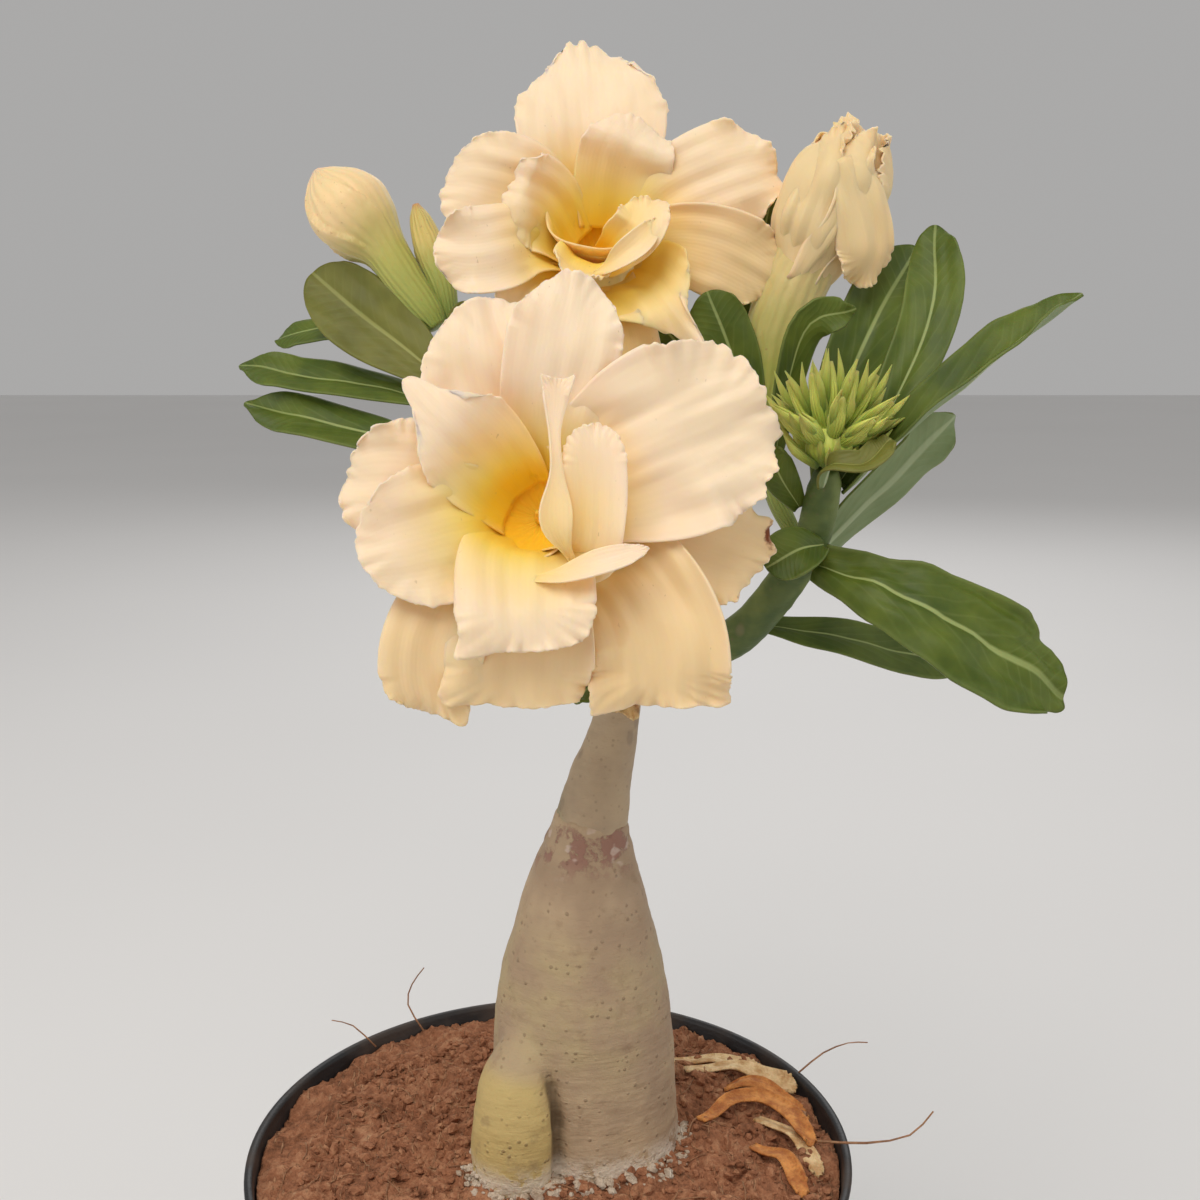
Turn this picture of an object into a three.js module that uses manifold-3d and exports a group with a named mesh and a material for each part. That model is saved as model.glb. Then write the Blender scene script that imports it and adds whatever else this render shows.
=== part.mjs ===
// Potted desert rose: a swollen grafted stem in a nursery pot, with two double flowers,
// buds and leaves.
// Millimetres, +Z up. The origin is the centre of the pot's underside. The flowers face -Y.
import * as THREE from "three";
import Module from "manifold-3d";

const wasm = await Module();
wasm.setup();

// Driving dimensions.
const GAP = 0.3; // clearance between neighbouring pieces
const POT_RIM_R = 65;
const POT_HEIGHT = 115;
const POT_BASE_R = 43;
const POT_WALL = 1.4;
const SOIL_EDGE_Z = 111.5;
const SOIL_RISE = 5.5; // the soil is heaped a little towards the stem
const PETAL_THICK = 0.7;
const LEAF_THICK = 0.8;

const COLOURS = {
  pot_plastic: [0x17171a, 0.55],
  coir_soil: [0x8a5236, 0.95],
  caudex_bark: [0xa8936f, 0.8],
  green_stem: [0x6f8a45, 0.6],
  cream_petal: [0xf5dfae, 0.6],
  yellow_tube: [0xd9c65c, 0.55],
  stamen: [0xe0b63a, 0.6],
  green_leaf: [0x3f7a35, 0.45],
  young_bud: [0x9fb356, 0.55],
  dry_petal: [0xc98f45, 0.8],
  dry_husk: [0xd9a860, 0.85],
};

const vec = (p) => new THREE.Vector3(p[0], p[1], p[2]);
const mix = (a, b, t) => a + (b - a) * t;

// ---------------------------------------------------------------- closed solids

function solidFrom(points, faces) {
  const numbers = new Float32Array(points.flatMap((p) => [p.x, p.y, p.z]));
  const make = (list) => {
    return new wasm.Manifold(
      new wasm.Mesh({ numProp: 3, vertProperties: numbers, triVerts: new Uint32Array(list.flat()) }),
    );
  };
  const solid = make(faces);
  return solid.volume() > 0 ? solid : make(faces.map(([a, b, c]) => [a, c, b]));
}

// A skin through rings of points, closed at each end by a fan or by a strip between two layers.
function skin(rings, fanEnds) {
  const n = rings[0].length;
  const points = rings.flat();
  const faces = [];
  for (let j = 0; j + 1 < rings.length; j++) {
    for (let i = 0; i < n; i++) {
      const a = j * n + i;
      const b = j * n + ((i + 1) % n);
      faces.push([a, b, b + n], [a, b + n, a + n]);
    }
  }
  for (const end of [0, rings.length - 1]) {
    const first = end * n;
    const flip = end === 0;
    const add = (a, b, c) => faces.push(flip ? [a, c, b] : [a, b, c]);
    if (fanEnds) {
      const centre = new THREE.Vector3();
      rings[end].forEach((p) => centre.addScaledVector(p, 1 / n));
      points.push(centre);
      for (let i = 0; i < n; i++) {
        add(first + i, first + ((i + 1) % n), points.length - 1);
      }
    } else {
      for (let i = 0; i + 1 < n / 2; i++) {
        add(first + i, first + i + 1, first + n - 2 - i);
        add(first + i, first + n - 2 - i, first + n - 1 - i);
      }
    }
  }
  return solidFrom(points, faces);
}

// A stem, root, tube or bud: elliptical sections [x, y, z, rx, ry] along a bent line.
function limb(sections, grow = 0, { sides = 12, hint = [1, 0, 0], ridges = 0, depth = 0 } = {}) {
  const centres = sections.map(vec);
  const last = centres.length - 1;
  const rings = centres.map((centre, k) => {
    const along = centres[Math.min(k + 1, last)].clone().sub(centres[Math.max(k - 1, 0)]).normalize();
    const side = vec(hint).addScaledVector(along, -vec(hint).dot(along)).normalize();
    const other = along.clone().cross(side);
    const rx = sections[k][3] + grow;
    const ry = (sections[k][4] ?? sections[k][3]) + grow;
    const shift = k === 0 ? -grow : k === last ? grow : 0;
    return Array.from({ length: sides }, (_, i) => {
      const turn = (i / sides) * 2 * Math.PI;
      const swell = 1 + depth * Math.cos(ridges * turn + k * 0.5);
      return centre
        .clone()
        .addScaledVector(side, rx * swell * Math.cos(turn))
        .addScaledVector(other, ry * swell * Math.sin(turn))
        .addScaledVector(along, shift);
    });
  });
  return skin(rings, true);
}

// A petal or leaf: a thin sheet along a centre line, narrow at its foot and rounded at its far end.
function blade(shape, grow = 0) {
  const {
    line, half, foot = 0.4 * half, cap = half, round = 0.9, face, faceEnd = face,
    cup = 0, cupEnd = cup, fold = 0, wave = 0, waves = 5, phase = 0,
    point = 0, pointAt = 0, thick = PETAL_THICK, across = 6, along = 6,
  } = shape;
  const curve = new THREE.CatmullRomCurve3(line.map(vec));
  const length = curve.getLength();
  const straight = length - cap;
  const layer = (a, b, sideways) => {
    let x = a * half * Math.sqrt(1 - (round * b * b) / 2);
    let y = straight + cap * b * Math.sqrt(1 - (round * a * a) / 2);
    if (b < 0) {
      x = a * mix(foot, half, Math.sin(((b + 1) * Math.PI) / 2));
      y = straight * (b + 1);
    }
    const edge = Math.max(Math.abs(a), b) ** 4;
    const rim = Math.atan2(x / half, Math.max(y - straight, 0) / cap + 0.001);
    const corner = point * edge * Math.exp(-(((rim - pointAt) / 0.35) ** 2));
    x = (x + corner * Math.sin(rim)) * (1 + grow / half);
    y = (y + corner * Math.cos(rim)) * (1 + (2 * grow) / length) - grow;
    const t = Math.min(Math.max(y / length, 0), 1);
    const tangent = curve.getTangentAt(t);
    const centre = curve.getPointAt(t).addScaledVector(tangent, y - t * length);
    const up = vec(face).lerp(vec(faceEnd), t);
    const side = up.cross(tangent).normalize();
    const normal = tangent.clone().cross(side);
    const bend = mix(cup, cupEnd, t);
    const angle = bend * x;
    const sideStep = bend === 0 ? x : Math.sin(angle) / bend;
    const lift = bend === 0 ? 0 : (1 - Math.cos(angle)) / bend;
    const ruffle = wave * edge * Math.sin(waves * rim + phase);
    const skinNormal = normal.clone().multiplyScalar(Math.cos(angle));
    skinNormal.addScaledVector(side, -Math.sin(angle));
    return centre
      .addScaledVector(side, sideStep)
      .addScaledVector(normal, lift + fold * Math.abs(x) + ruffle)
      .addScaledVector(skinNormal, sideways * (thick / 2 + grow));
  };
  const rings = [];
  for (let j = 0; j <= along; j++) {
    const b = -1 + (2 * j) / along;
    const steps = Array.from({ length: across + 1 }, (_, i) => -1 + (2 * i) / across);
    const upper = steps.map((a) => layer(a, b, 1));
    const lower = steps.map((a) => layer(a, b, -1)).reverse();
    rings.push([...upper, ...lower]);
  }
  return skin(rings, false);
}

// A closed ring or disc turned about +Z from a profile of [radius, height].
function turned(profile, segments = 48) {
  const flat = profile.map(([r, z]) => [r, z]);
  return new wasm.CrossSection([flat], "Positive").revolve(segments);
}

// ---------------------------------------------------------------- placing pieces

const object = new THREE.Group();
object.name = "potted_desert_rose";
const placed = [];

function overlaps(a, b) {
  return [0, 1, 2].every((k) => a.min[k] <= b.max[k] && b.min[k] <= a.max[k]);
}

function largestPiece(solid) {
  const pieces = solid.decompose();
  return pieces.reduce((best, one) => (one.volume() > best.volume() ? one : best), pieces[0]);
}

function addMesh(name, slot, solid) {
  const { vertProperties, triVerts, numProp } = solid.getMesh();
  const positions = [];
  for (const v of triVerts) {
    positions.push(...vertProperties.slice(v * numProp, v * numProp + 3));
  }
  const geometry = new THREE.BufferGeometry();
  geometry.setAttribute("position", new THREE.Float32BufferAttribute(positions, 3));
  geometry.computeVertexNormals();
  const [color, roughness] = COLOURS[slot];
  const material = new THREE.MeshStandardMaterial({ color, roughness, metalness: 0 });
  const mesh = new THREE.Mesh(geometry, material);
  mesh.name = name;
  mesh.material.name = slot;
  object.add(mesh);
}

// Each new piece gives way to the pieces already placed, with GAP left between them.
function place(name, slot, make) {
  let solid = make(0);
  for (const earlier of placed) {
    if (overlaps(solid.boundingBox(), earlier.cutter.boundingBox())) {
      solid = solid.subtract(earlier.cutter);
    }
  }
  solid = largestPiece(solid.simplify(0.02));
  addMesh(name, slot, solid);
  placed.push({ cutter: make(GAP).add(solid) });
}

// ---------------------------------------------------------------- stem and branches

const TRUNK = [
  [8, 1, 74, 6, 6],
  [8, 1, 90, 13, 12],
  [8, 0, 104, 18, 16.5],
  [7.6, 0, 117, 20, 17.5],
  [7.4, 0, 130, 19.6, 17.2],
  [7.2, 0, 148, 18.6, 16.6],
  [7.4, 0, 160, 16.4, 15],
  [7.7, 0, 171, 13.4, 12.8],
  [8.2, 0, 180, 10.6, 10.4],
  [8.9, 0, 187, 8.2, 8],
  [9.4, 0, 190, 7.7, 7.6],
];
const SIDE_ROOT = [
  [-4, -8, 92, 5, 5],
  [-5.4, -10.5, 106, 8.6, 8],
  [-6.2, -12.4, 119, 9.6, 8.8],
  [-6, -12.6, 130, 9, 8.6],
  [-5, -10.8, 138, 7.6, 7.2],
  [-3.8, -8, 144, 4.6, 4.6],
  [-3.2, -6, 147, 1.5, 1.5],
];
const SCION = [
  [9.5, 0, 190.4, 7.5, 7.4],
  [11, -0.3, 198, 6.5, 6.4],
  [13.2, -0.6, 206, 5.3, 5.3],
  [14.6, -1, 214, 4.6, 4.6],
  [15.4, -0.8, 224, 4.6, 4.6],
  [15.4, 1, 236, 4.5, 4.5],
  [13.6, 5, 248, 3.8, 3.8],
  [12.2, 8.4, 257, 3, 3],
  [12, 9.6, 260, 2, 2],
];
const LEFT_BRANCH = [
  [11.5, 3, 237.5, 3.4],
  [4, 11, 251, 3.8],
  [-6, 19, 264, 3.6],
  [-15, 26, 274, 3.4],
  [-22, 32, 283, 3.1],
  [-23.6, 34, 286, 2.2],
];
const RIGHT_BRANCH = [
  [19, -1.2, 222, 3.4],
  [29, -3.5, 225, 3.9],
  [38, -6, 229.5, 3.9],
  [45.7, -10, 239.5, 3.7],
  [51, -13, 250, 3.5],
  [52.8, -15.5, 260, 3.2],
  [53, -17, 264, 2.2],
];

place("caudex", "caudex_bark", (grow) => {
  const trunk = limb(TRUNK, grow, { sides: 24, ridges: 5, depth: 0.012 });
  return trunk.add(limb(SIDE_ROOT, grow, { sides: 18 }));
});
place("scion_stem", "caudex_bark", (grow) => limb(SCION, grow, { sides: 14 }));
place("left_branch", "green_stem", (grow) => limb(LEFT_BRANCH, grow, { sides: 10 }));
place("right_branch", "green_stem", (grow) => limb(RIGHT_BRANCH, grow, { sides: 10 }));

// ---------------------------------------------------------------- pot, soil and litter

const POT_OUTSIDE = [
  [0, 0],
  [POT_BASE_R - 2, 0],
  [POT_BASE_R, 2],
  [POT_RIM_R - 5.4, POT_HEIGHT - 13],
  [POT_RIM_R - 1.2, POT_HEIGHT - 12],
  [POT_RIM_R - 0.4, POT_HEIGHT - 1.2],
  [POT_RIM_R, POT_HEIGHT - 0.8],
  [POT_RIM_R - 0.2, POT_HEIGHT],
];
const POT_INSIDE = [
  [POT_RIM_R - 1.8, POT_HEIGHT],
  [POT_RIM_R - 2.6, POT_HEIGHT - 10.6],
  [POT_RIM_R - 6.8, POT_HEIGHT - 12],
  [POT_BASE_R - POT_WALL - 0.2, 3],
  [POT_BASE_R - POT_WALL - 1.6, 1.8],
  [0, 1.8],
];
const DRAIN_HOLES = 8;
const DRAIN_R = 4;
const DRAIN_CIRCLE_R = 30;

place("pot", "pot_plastic", () => {
  let pot = turned([...POT_OUTSIDE, ...POT_INSIDE], 48);
  for (let i = 0; i < DRAIN_HOLES; i++) {
    const turn = ((i + 0.5) / DRAIN_HOLES) * 2 * Math.PI;
    const hole = wasm.Manifold.cylinder(6, DRAIN_R, DRAIN_R, 12);
    const at = [DRAIN_CIRCLE_R * Math.cos(turn), DRAIN_CIRCLE_R * Math.sin(turn), -2];
    pot = pot.subtract(hole.translate(at));
  }
  return pot;
});

// The soil follows the pot's inside and heaps up, with a few soft lumps.
function soilHeight(x, y) {
  const rise = SOIL_RISE * Math.cos((Math.min(Math.hypot(x, y) / 64, 1) * Math.PI) / 2);
  const broadLumps = 0.9 * Math.sin(x * 0.21 + 1) * Math.cos(y * 0.24);
  const smallLumps = 0.5 * Math.sin(x * 0.47 - y * 0.38);
  return SOIL_EDGE_Z + rise + broadLumps + smallLumps;
}

const SOIL_SIDE = [
  [POT_BASE_R - 3.6, 2.1],
  [POT_BASE_R - 2, 3.4],
  [POT_RIM_R - 7.2, POT_HEIGHT - 11.6],
  [POT_RIM_R - 3, POT_HEIGHT - 10.2],
  [POT_RIM_R - 2.4, SOIL_EDGE_Z],
];
const SOIL_TOP_RINGS = [58, 51, 43, 35, 27, 19, 10];

place("soil", "coir_soil", () => {
  const sides = 40;
  const ring = (radius, height) => {
    return Array.from({ length: sides }, (_, i) => {
      const turn = (i / sides) * 2 * Math.PI;
      const x = radius * Math.cos(turn);
      const y = radius * Math.sin(turn);
      return new THREE.Vector3(x, y, height ?? soilHeight(x, y));
    });
  };
  const wall = SOIL_SIDE.map(([radius, height]) => ring(radius, height));
  return skin([...wall, ...SOIL_TOP_RINGS.map((radius) => ring(radius))], true);
});

const HUSKS = {
  husk_back: { line: [[31, 27, 2.4], [44, 29, 4.6], [57, 24, 2.6]], half: 2.4, thick: 1.2 },
  husk_front: {
    line: [[33, 3, 1.6], [42, 12, 4.4], [51, 10, 4.2], [57, -2, 2.2]],
    half: 2,
    thick: 1.2,
  },
};
for (const [name, shape] of Object.entries(HUSKS)) {
  const line = shape.line.map(([x, y, up]) => [x, y, soilHeight(x, y) + up]);
  place(name, "dry_husk", (grow) => {
    return blade({ ...shape, line, foot: 1.2, cap: 4, face: [0, 0, 1], cup: 0.1, across: 4 }, grow);
  });
}

// ---------------------------------------------------------------- flowers

// A flower's own directions: right and up as seen from the front, and out towards the viewer.
const FRONT = { at: [-1.3, -35, 259.7], right: [1, 0.05, 0], up: [0, 0.2, 1], out: [0.03, -1, 0.14] };
const BACK = { at: [10.5, 10, 309.4], right: [1, 0, 0], up: [0, 0.5, 1], out: [0, -1, 0.1] };

function turnInto(flower, [r, u, f]) {
  return [0, 1, 2].map((k) => r * flower.right[k] + u * flower.up[k] + f * flower.out[k]);
}

function moveInto(flower, p) {
  return turnInto(flower, p).map((value, k) => value + flower.at[k]);
}

// Whorls: how far from the axis and how deep a petal leaves the funnel, and where it flares.
const WHORLS = {
  outer: { foot: [8.6, -4.5], flare: [15, 2], lift: 3.4 },
  inner: { foot: [5, -7], flare: [8.6, 4], lift: 4.4 },
};

function petalShape(flower, { whorl, tip, line, ...rest }) {
  const reach = Math.hypot(tip[0], tip[1]);
  const way = [tip[0] / reach, tip[1] / reach];
  const { foot, flare, lift } = WHORLS[whorl];
  const middle = (flare[0] + reach) / 2;
  const points = line ?? [
    [way[0] * foot[0], way[1] * foot[0], foot[1]],
    [way[0] * flare[0], way[1] * flare[0], flare[1]],
    [way[0] * middle, way[1] * middle, (flare[1] + tip[2]) / 2 + lift],
    tip,
  ];
  return {
    foot: whorl === "outer" ? 7 : 5,
    face: turnInto(flower, [-way[0], -way[1], 0.5]),
    faceEnd: turnInto(flower, [0, 0, 1]),
    cup: whorl === "outer" ? 0.05 : 0.1,
    cupEnd: 0.012,
    wave: 0.8,
    ...rest,
    line: points.map((p) => moveInto(flower, p)),
  };
}

// Funnels run from a stalk on the stem to the flower's mouth: [distance back from the mouth, radius].
function funnel(flower, start, bend, mouth) {
  const end = vec(moveInto(flower, [0, 0, -2]));
  const path = new THREE.QuadraticBezierCurve3(vec(start), vec(bend), end);
  const at = (t, radius) => [...path.getPoint(t).toArray(), radius];
  return (grow) => {
    const outside = [
      at(0, 1.5), at(0.1, 1.9), at(0.15, 3.4), at(0.26, 3.6), at(0.34, 3.1), at(0.5, 3.8),
      at(0.68, 5.4), at(0.85, 6.8), at(1, mouth),
    ];
    const inside = [
      at(0.66, 2.2), at(0.78, 4.2), at(0.9, 5.7), at(1, mouth - 1.1), at(1.08, mouth - 0.7),
    ];
    return limb(outside, grow, { sides: 14 }).subtract(limb(inside, -grow, { sides: 14 }));
  };
}

function stamenCone(flower, start, bend, mouth) {
  const end = vec(moveInto(flower, [0, 0, -2]));
  const path = new THREE.QuadraticBezierCurve3(vec(start), vec(bend), end);
  const at = (t, radius) => [...path.getPoint(t).toArray(), radius];
  const cone = [at(0.7, 1.2), at(0.76, 1.9), at(0.84, 1.3), at(0.95, 0.3)];
  return (grow) => limb(cone, grow, { sides: 8 });
}

const FRONT_STALK = [[11.4, -0.6, 245.4], [4, -13, 249.6], 7.6];
const BACK_STALK = [[12.1, 11.8, 261.6], [11, 36, 283], 7.6];

const FRONT_PETALS = {
  inner_fold: {
    whorl: "inner", tip: [4.8, 20.5, 13], half: 3, foot: 1.8, cap: 3,
    line: [[3.4, 2, -3], [4.2, 5, 6], [4.3, 12, 12], [4.8, 20.5, 13]], cup: 0.25, cupEnd: 0.2,
  },
  inner_right: {
    whorl: "inner", tip: [17, -0.5, 12], half: 10.5, cap: 8, round: 0.6, cupEnd: 0.05,
    point: 2.5, pointAt: -1,
  },
  inner_bottom: {
    whorl: "inner", tip: [-0.5, -24.5, 10], half: 12.5, cap: 9, round: 0.5, point: 3, pointAt: -0.7,
  },
  inner_left: { whorl: "inner", tip: [-30.5, -9, 9], half: 12, cap: 11, cupEnd: 0.03 },
  inner_top: { whorl: "inner", tip: [-17.5, 18, 8], half: 11.5, cap: 9, point: 3, pointAt: 0.1 },
  top_right: { whorl: "outer", tip: [8.8, 39, 4], half: 10.5, cap: 10, phase: 1 },
  top_left: { whorl: "outer", tip: [-8.6, 36, 1], half: 13.5, cap: 12, round: 0.8 },
  right: {
    whorl: "outer", tip: [41.5, 14, 4], half: 18, foot: 9, cap: 15, round: 0.85, wave: 1.4,
    waves: 6,
  },
  low_right: {
    whorl: "outer", tip: [22, -34.5, 3], half: 11.8, cap: 8, round: 0.5, wave: 1.4,
    point: 1.6, pointAt: -0.8,
    line: [[7, -6.5, -4], [13.5, -12, 3], [20, -22, 6], [22, -34.5, 3]],
  },
  bottom: { whorl: "outer", tip: [-2.5, -34, 1], half: 12, cap: 8, round: 0.5 },
  low_left: {
    whorl: "outer", tip: [-17, -35, -2], half: 9, cap: 9, point: 2.5, pointAt: -0.4,
    line: [[-6.5, -6.5, -4], [-12, -14, 1], [-16.5, -24, 2], [-17, -35, -2]],
  },
  left: { whorl: "outer", tip: [-33.3, 3.5, 0], half: 13, cap: 12, wave: 1 },
  right_low: { whorl: "outer", tip: [40.5, -8, -5], half: 10.5, cap: 9 },
};
const BACK_PETALS = {
  inner_low: { whorl: "inner", tip: [-4, -12, 8], half: 8, cap: 6, cup: 0.12, cupEnd: 0.1 },
  inner_right: { whorl: "inner", tip: [12, -4, 9], half: 9, cap: 7, cupEnd: 0.07 },
  inner_top: { whorl: "inner", tip: [9, 19, 5], half: 10, cap: 8 },
  inner_left: { whorl: "inner", tip: [-18, 4.5, 6], half: 9.5, cap: 7, cupEnd: 0.03 },
  top: { whorl: "outer", tip: [-2.5, 35.5, 2], half: 15.5, foot: 9, cap: 13, round: 0.85, wave: 1.1 },
  left: { whorl: "outer", tip: [-31, 7, 1], half: 13, cap: 11 },
  upper_right: { whorl: "outer", tip: [35.5, 11.5, 3], half: 11, cap: 11, wave: 1.2, waves: 6 },
  low_left: { whorl: "outer", tip: [-30, -9.5, 6], half: 9.5, cap: 8, wave: 1.4 },
  low_right: { whorl: "outer", tip: [17, -24.5, 4], half: 11, cap: 10, point: 2.5, pointAt: 0 },
  far_right: { whorl: "outer", tip: [35, -9, -3], half: 9, cap: 8 },
  lowest: { whorl: "outer", tip: [7, -25, -4], half: 5, foot: 3, cap: 5 },
};

place("front_flower_tube", "yellow_tube", funnel(FRONT, ...FRONT_STALK));
place("front_stamens", "stamen", stamenCone(FRONT, ...FRONT_STALK));
place("back_flower_tube", "yellow_tube", funnel(BACK, ...BACK_STALK));
for (const [name, shape] of Object.entries(FRONT_PETALS)) {
  place(`front_petal_${name}`, "cream_petal", (grow) => blade(petalShape(FRONT, shape), grow));
}
for (const [name, shape] of Object.entries(BACK_PETALS)) {
  place(`back_petal_${name}`, "cream_petal", (grow) => blade(petalShape(BACK, shape), grow));
}

// ---------------------------------------------------------------- buds

const LEFT_BUD = [
  [-24.2, 35, 288.6, 2.2],
  [-26.5, 35.8, 292, 3.4],
  [-31, 37, 298, 4.2],
  [-35.6, 38, 304.8, 5],
  [-39.5, 39, 309, 7.6],
  [-43.5, 40, 313, 8.8],
  [-47, 41, 317, 7],
  [-49.4, 41.6, 320, 3.6],
  [-50.6, 42, 321.6, 1],
];
const SMALL_BUD = [
  [-21.4, 36.6, 290, 1.6],
  [-23.4, 37.4, 298, 3],
  [-26, 38.4, 305, 3.4],
  [-28, 39.4, 311, 2.4],
  [-29, 40, 314.5, 0.7],
];
const SPENT_BLOOM = [
  [48.4, -8.6, 250, 1.6],
  [45.6, -3.4, 256, 2],
  [44, 2, 263, 2.1],
  [43.8, 5.4, 270, 2.3],
  [44.6, 8, 279, 4.2],
  [46, 9.4, 288, 5.4],
  [49, 10, 296, 6.2],
  [51.6, 10, 302, 8.4],
  [54, 10, 308, 11],
  [57.4, 10, 315, 11.8],
  [60.4, 10, 321.5, 9],
  [62.4, 10, 326.5, 4.4],
  [63.4, 10, 328.5, 1.6],
];

place("left_bud", "yellow_tube", (grow) => limb(LEFT_BUD, grow, { sides: 15, ridges: 5, depth: 0.05 }));
place("small_bud", "young_bud", (grow) => limb(SMALL_BUD, grow, { sides: 10 }));
const spentShape = { sides: 20, ridges: 5, depth: 0.08 };
place("spent_bloom", "cream_petal", (grow) => limb(SPENT_BLOOM, grow, spentShape));

// Pointed young buds crowd round one short stalk: [reach sideways, reach towards the back, height].
const CLUSTER_FOOT = [53, -18, 264.6];
const CLUSTER_TIPS = [
  [0, 1, 19], [-4, -3, 17], [4, -4, 17.5], [-8, 0, 15.5], [8.5, 0, 16.5], [-1, 6, 17], [1, -8, 13],
  [-10.5, -4, 10.5], [10.5, -5, 12], [-6.5, -8, 9.5], [6.5, -9, 9], [-9, 5, 11.5],
  [9, 6, 12.5], [11.5, 1, 8],
];
place("bud_cluster", "young_bud", (grow) => {
  const [x, y, z] = CLUSTER_FOOT;
  let cluster = limb([[x, y, z, 2.4], [x, y, z + 3, 4.4], [x, y, z + 7, 3]], grow, { sides: 10 });
  for (const [dx, dy, dz] of CLUSTER_TIPS) {
    const at = (t, radius) => [x + dx * t, y + dy * t, z + 2.5 + (dz - 2.5) * t, radius];
    const bud = [at(0.1, 1.2), at(0.5, 2), at(0.78, 1.7), at(1, 0.3)];
    cluster = cluster.add(limb(bud, grow, { sides: 6 }));
  }
  return cluster;
});

// ---------------------------------------------------------------- leaves

// Leaves: centre line, half width, the way the upper side faces, and the fold along the midrib.
const LEAVES = {
  right_leaf_big: {
    line: [[52, -14.5, 245.5], [66, -24, 241.5], [82, -27, 233], [96.5, -25, 223.2]],
    half: 8.8, foot: 2.2, cap: 12, face: [0.35, -0.75, 0.7], wave: 0.8, waves: 4,
    point: 2, pointAt: 0.2,
  },
  right_leaf_low: {
    line: [[42.4, -5.4, 231.6], [57, -3, 229], [72, 1, 224.5], [86, 5, 220.8]],
    half: 5.4, foot: 1.6, cap: 11, face: [0.1, -0.6, 0.8], point: 1.5,
  },
  right_leaf_folded: {
    line: [[56.5, -14, 259.5], [67, -18, 271], [81, -20, 283], [96, -20, 294.6]],
    half: 5.4, foot: 2.2, cap: 13, face: [-0.5, -0.5, 0.75], fold: 0.35, point: 1.5,
  },
  right_leaf_pale: {
    line: [[47, -5.6, 238], [58, 1, 249], [70, 4, 260], [81.5, 5, 272]],
    half: 6.4, foot: 2, cap: 12, face: [-0.35, 0.8, 0.3], wave: 0.8,
  },
  right_leaf_upright: {
    line: [[56, -13.5, 261], [66, -11, 276], [74, -4, 293], [75.8, 5, 307.8]],
    half: 5.6, foot: 2, cap: 13, face: [-0.45, -1, 0.1], fold: 0.15, point: 1,
  },
  right_leaf_behind: {
    line: [[53.4, -9.5, 258], [57, 0, 272], [65, 7, 290], [74, 14, 304]],
    half: 7.4, foot: 2.2, cap: 12, face: [0.1, -1, 0.25], fold: 0.1, point: 1,
  },
  right_leaf_small: {
    line: [[53, -17.5, 250], [47.5, -21.5, 249.5], [41.5, -22.5, 246]],
    half: 5, foot: 1.4, cap: 5, face: [-0.1, -0.9, 0.4], cup: 0.08,
  },
  right_leaf_curled: {
    line: [[51, -20.5, 261.5], [52, -26, 266], [58, -27.5, 266], [63, -25, 270]],
    half: 2.8, foot: 1, cap: 3, face: [-0.3, -0.5, 0.9], fold: 0.3,
  },
  right_leaf_hooked: {
    line: [[45, -2.6, 262.5], [46.4, -5, 276], [50, -7, 289.5], [58, -7.5, 292.6]],
    half: 3.6, foot: 1.2, cap: 6, face: [0.3, -1, 0.1], point: 1,
  },
  right_leaf_dark: {
    line: [[43.4, -0.5, 262], [40, 1, 271], [37, 2, 283], [31.5, 2, 296]],
    half: 6, foot: 2, cap: 8, face: [0.2, -1, 0.1],
  },
  right_leaf_inner: {
    line: [[42.6, 3.6, 265], [36, 8, 272], [30, 11, 281], [22, 13, 291]],
    half: 5, foot: 1.8, cap: 7, face: [0.2, -1, 0.3],
  },
  right_leaf_top: {
    line: [[43.6, 8.6, 273], [41, 14, 287], [43, 17, 302], [45.5, 17, 316]],
    half: 3.6, foot: 1.4, cap: 7, face: [0, -1, 0.1],
  },
  right_leaf_under: {
    line: [[48.6, -13.5, 256], [44.6, -17.5, 262], [41.5, -18, 268]],
    half: 3.2, foot: 1.2, cap: 4, face: [-0.3, -1, 0.1],
  },
  left_leaf_broad: {
    line: [[-21.5, 28, 276.5], [-31, 32, 284], [-42, 36, 292], [-52, 40, 300]],
    half: 8.8, foot: 2.2, cap: 14, face: [-0.4, -0.8, 0.5], cup: 0.03,
  },
  left_leaf_back: {
    line: [[-25, 34, 281.6], [-38, 40, 286], [-51, 47, 288], [-63, 52, 285]],
    half: 4.6, foot: 1.6, cap: 9, face: [-0.2, -0.6, 0.8],
  },
  left_leaf_middle: {
    line: [[-19.5, 27, 271.5], [-34, 33, 275], [-52, 40, 277.5], [-69, 45, 279.8]],
    half: 5.4, foot: 1.8, cap: 12, face: [-0.1, -0.7, 0.8], point: 1.5,
  },
  left_leaf_low: {
    line: [[-12.4, 21.4, 266.5], [-30, 28, 264.5], [-49, 35, 268], [-67, 40, 271.6]],
    half: 5.6, foot: 1.8, cap: 12, face: [-0.1, -0.7, 0.7], point: 1.5,
  },
  left_leaf_inner: {
    line: [[-13.5, 28, 274], [-16, 32, 284], [-18.5, 34, 294]],
    half: 5, foot: 1.6, cap: 7, face: [0.2, -1, 0.2],
  },
  centre_leaf: {
    line: [[12, -6, 227], [10, -13, 223.5], [6.6, -19.5, 219.6]],
    half: 3.2, foot: 1.2, cap: 5, face: [-0.3, -0.8, 0.5],
  },
};

for (const [name, shape] of Object.entries(LEAVES)) {
  const leaf = { ...shape, thick: LEAF_THICK, round: 0.98, across: 4 };
  place(name, "green_leaf", (grow) => blade(leaf, grow));
}

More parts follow.
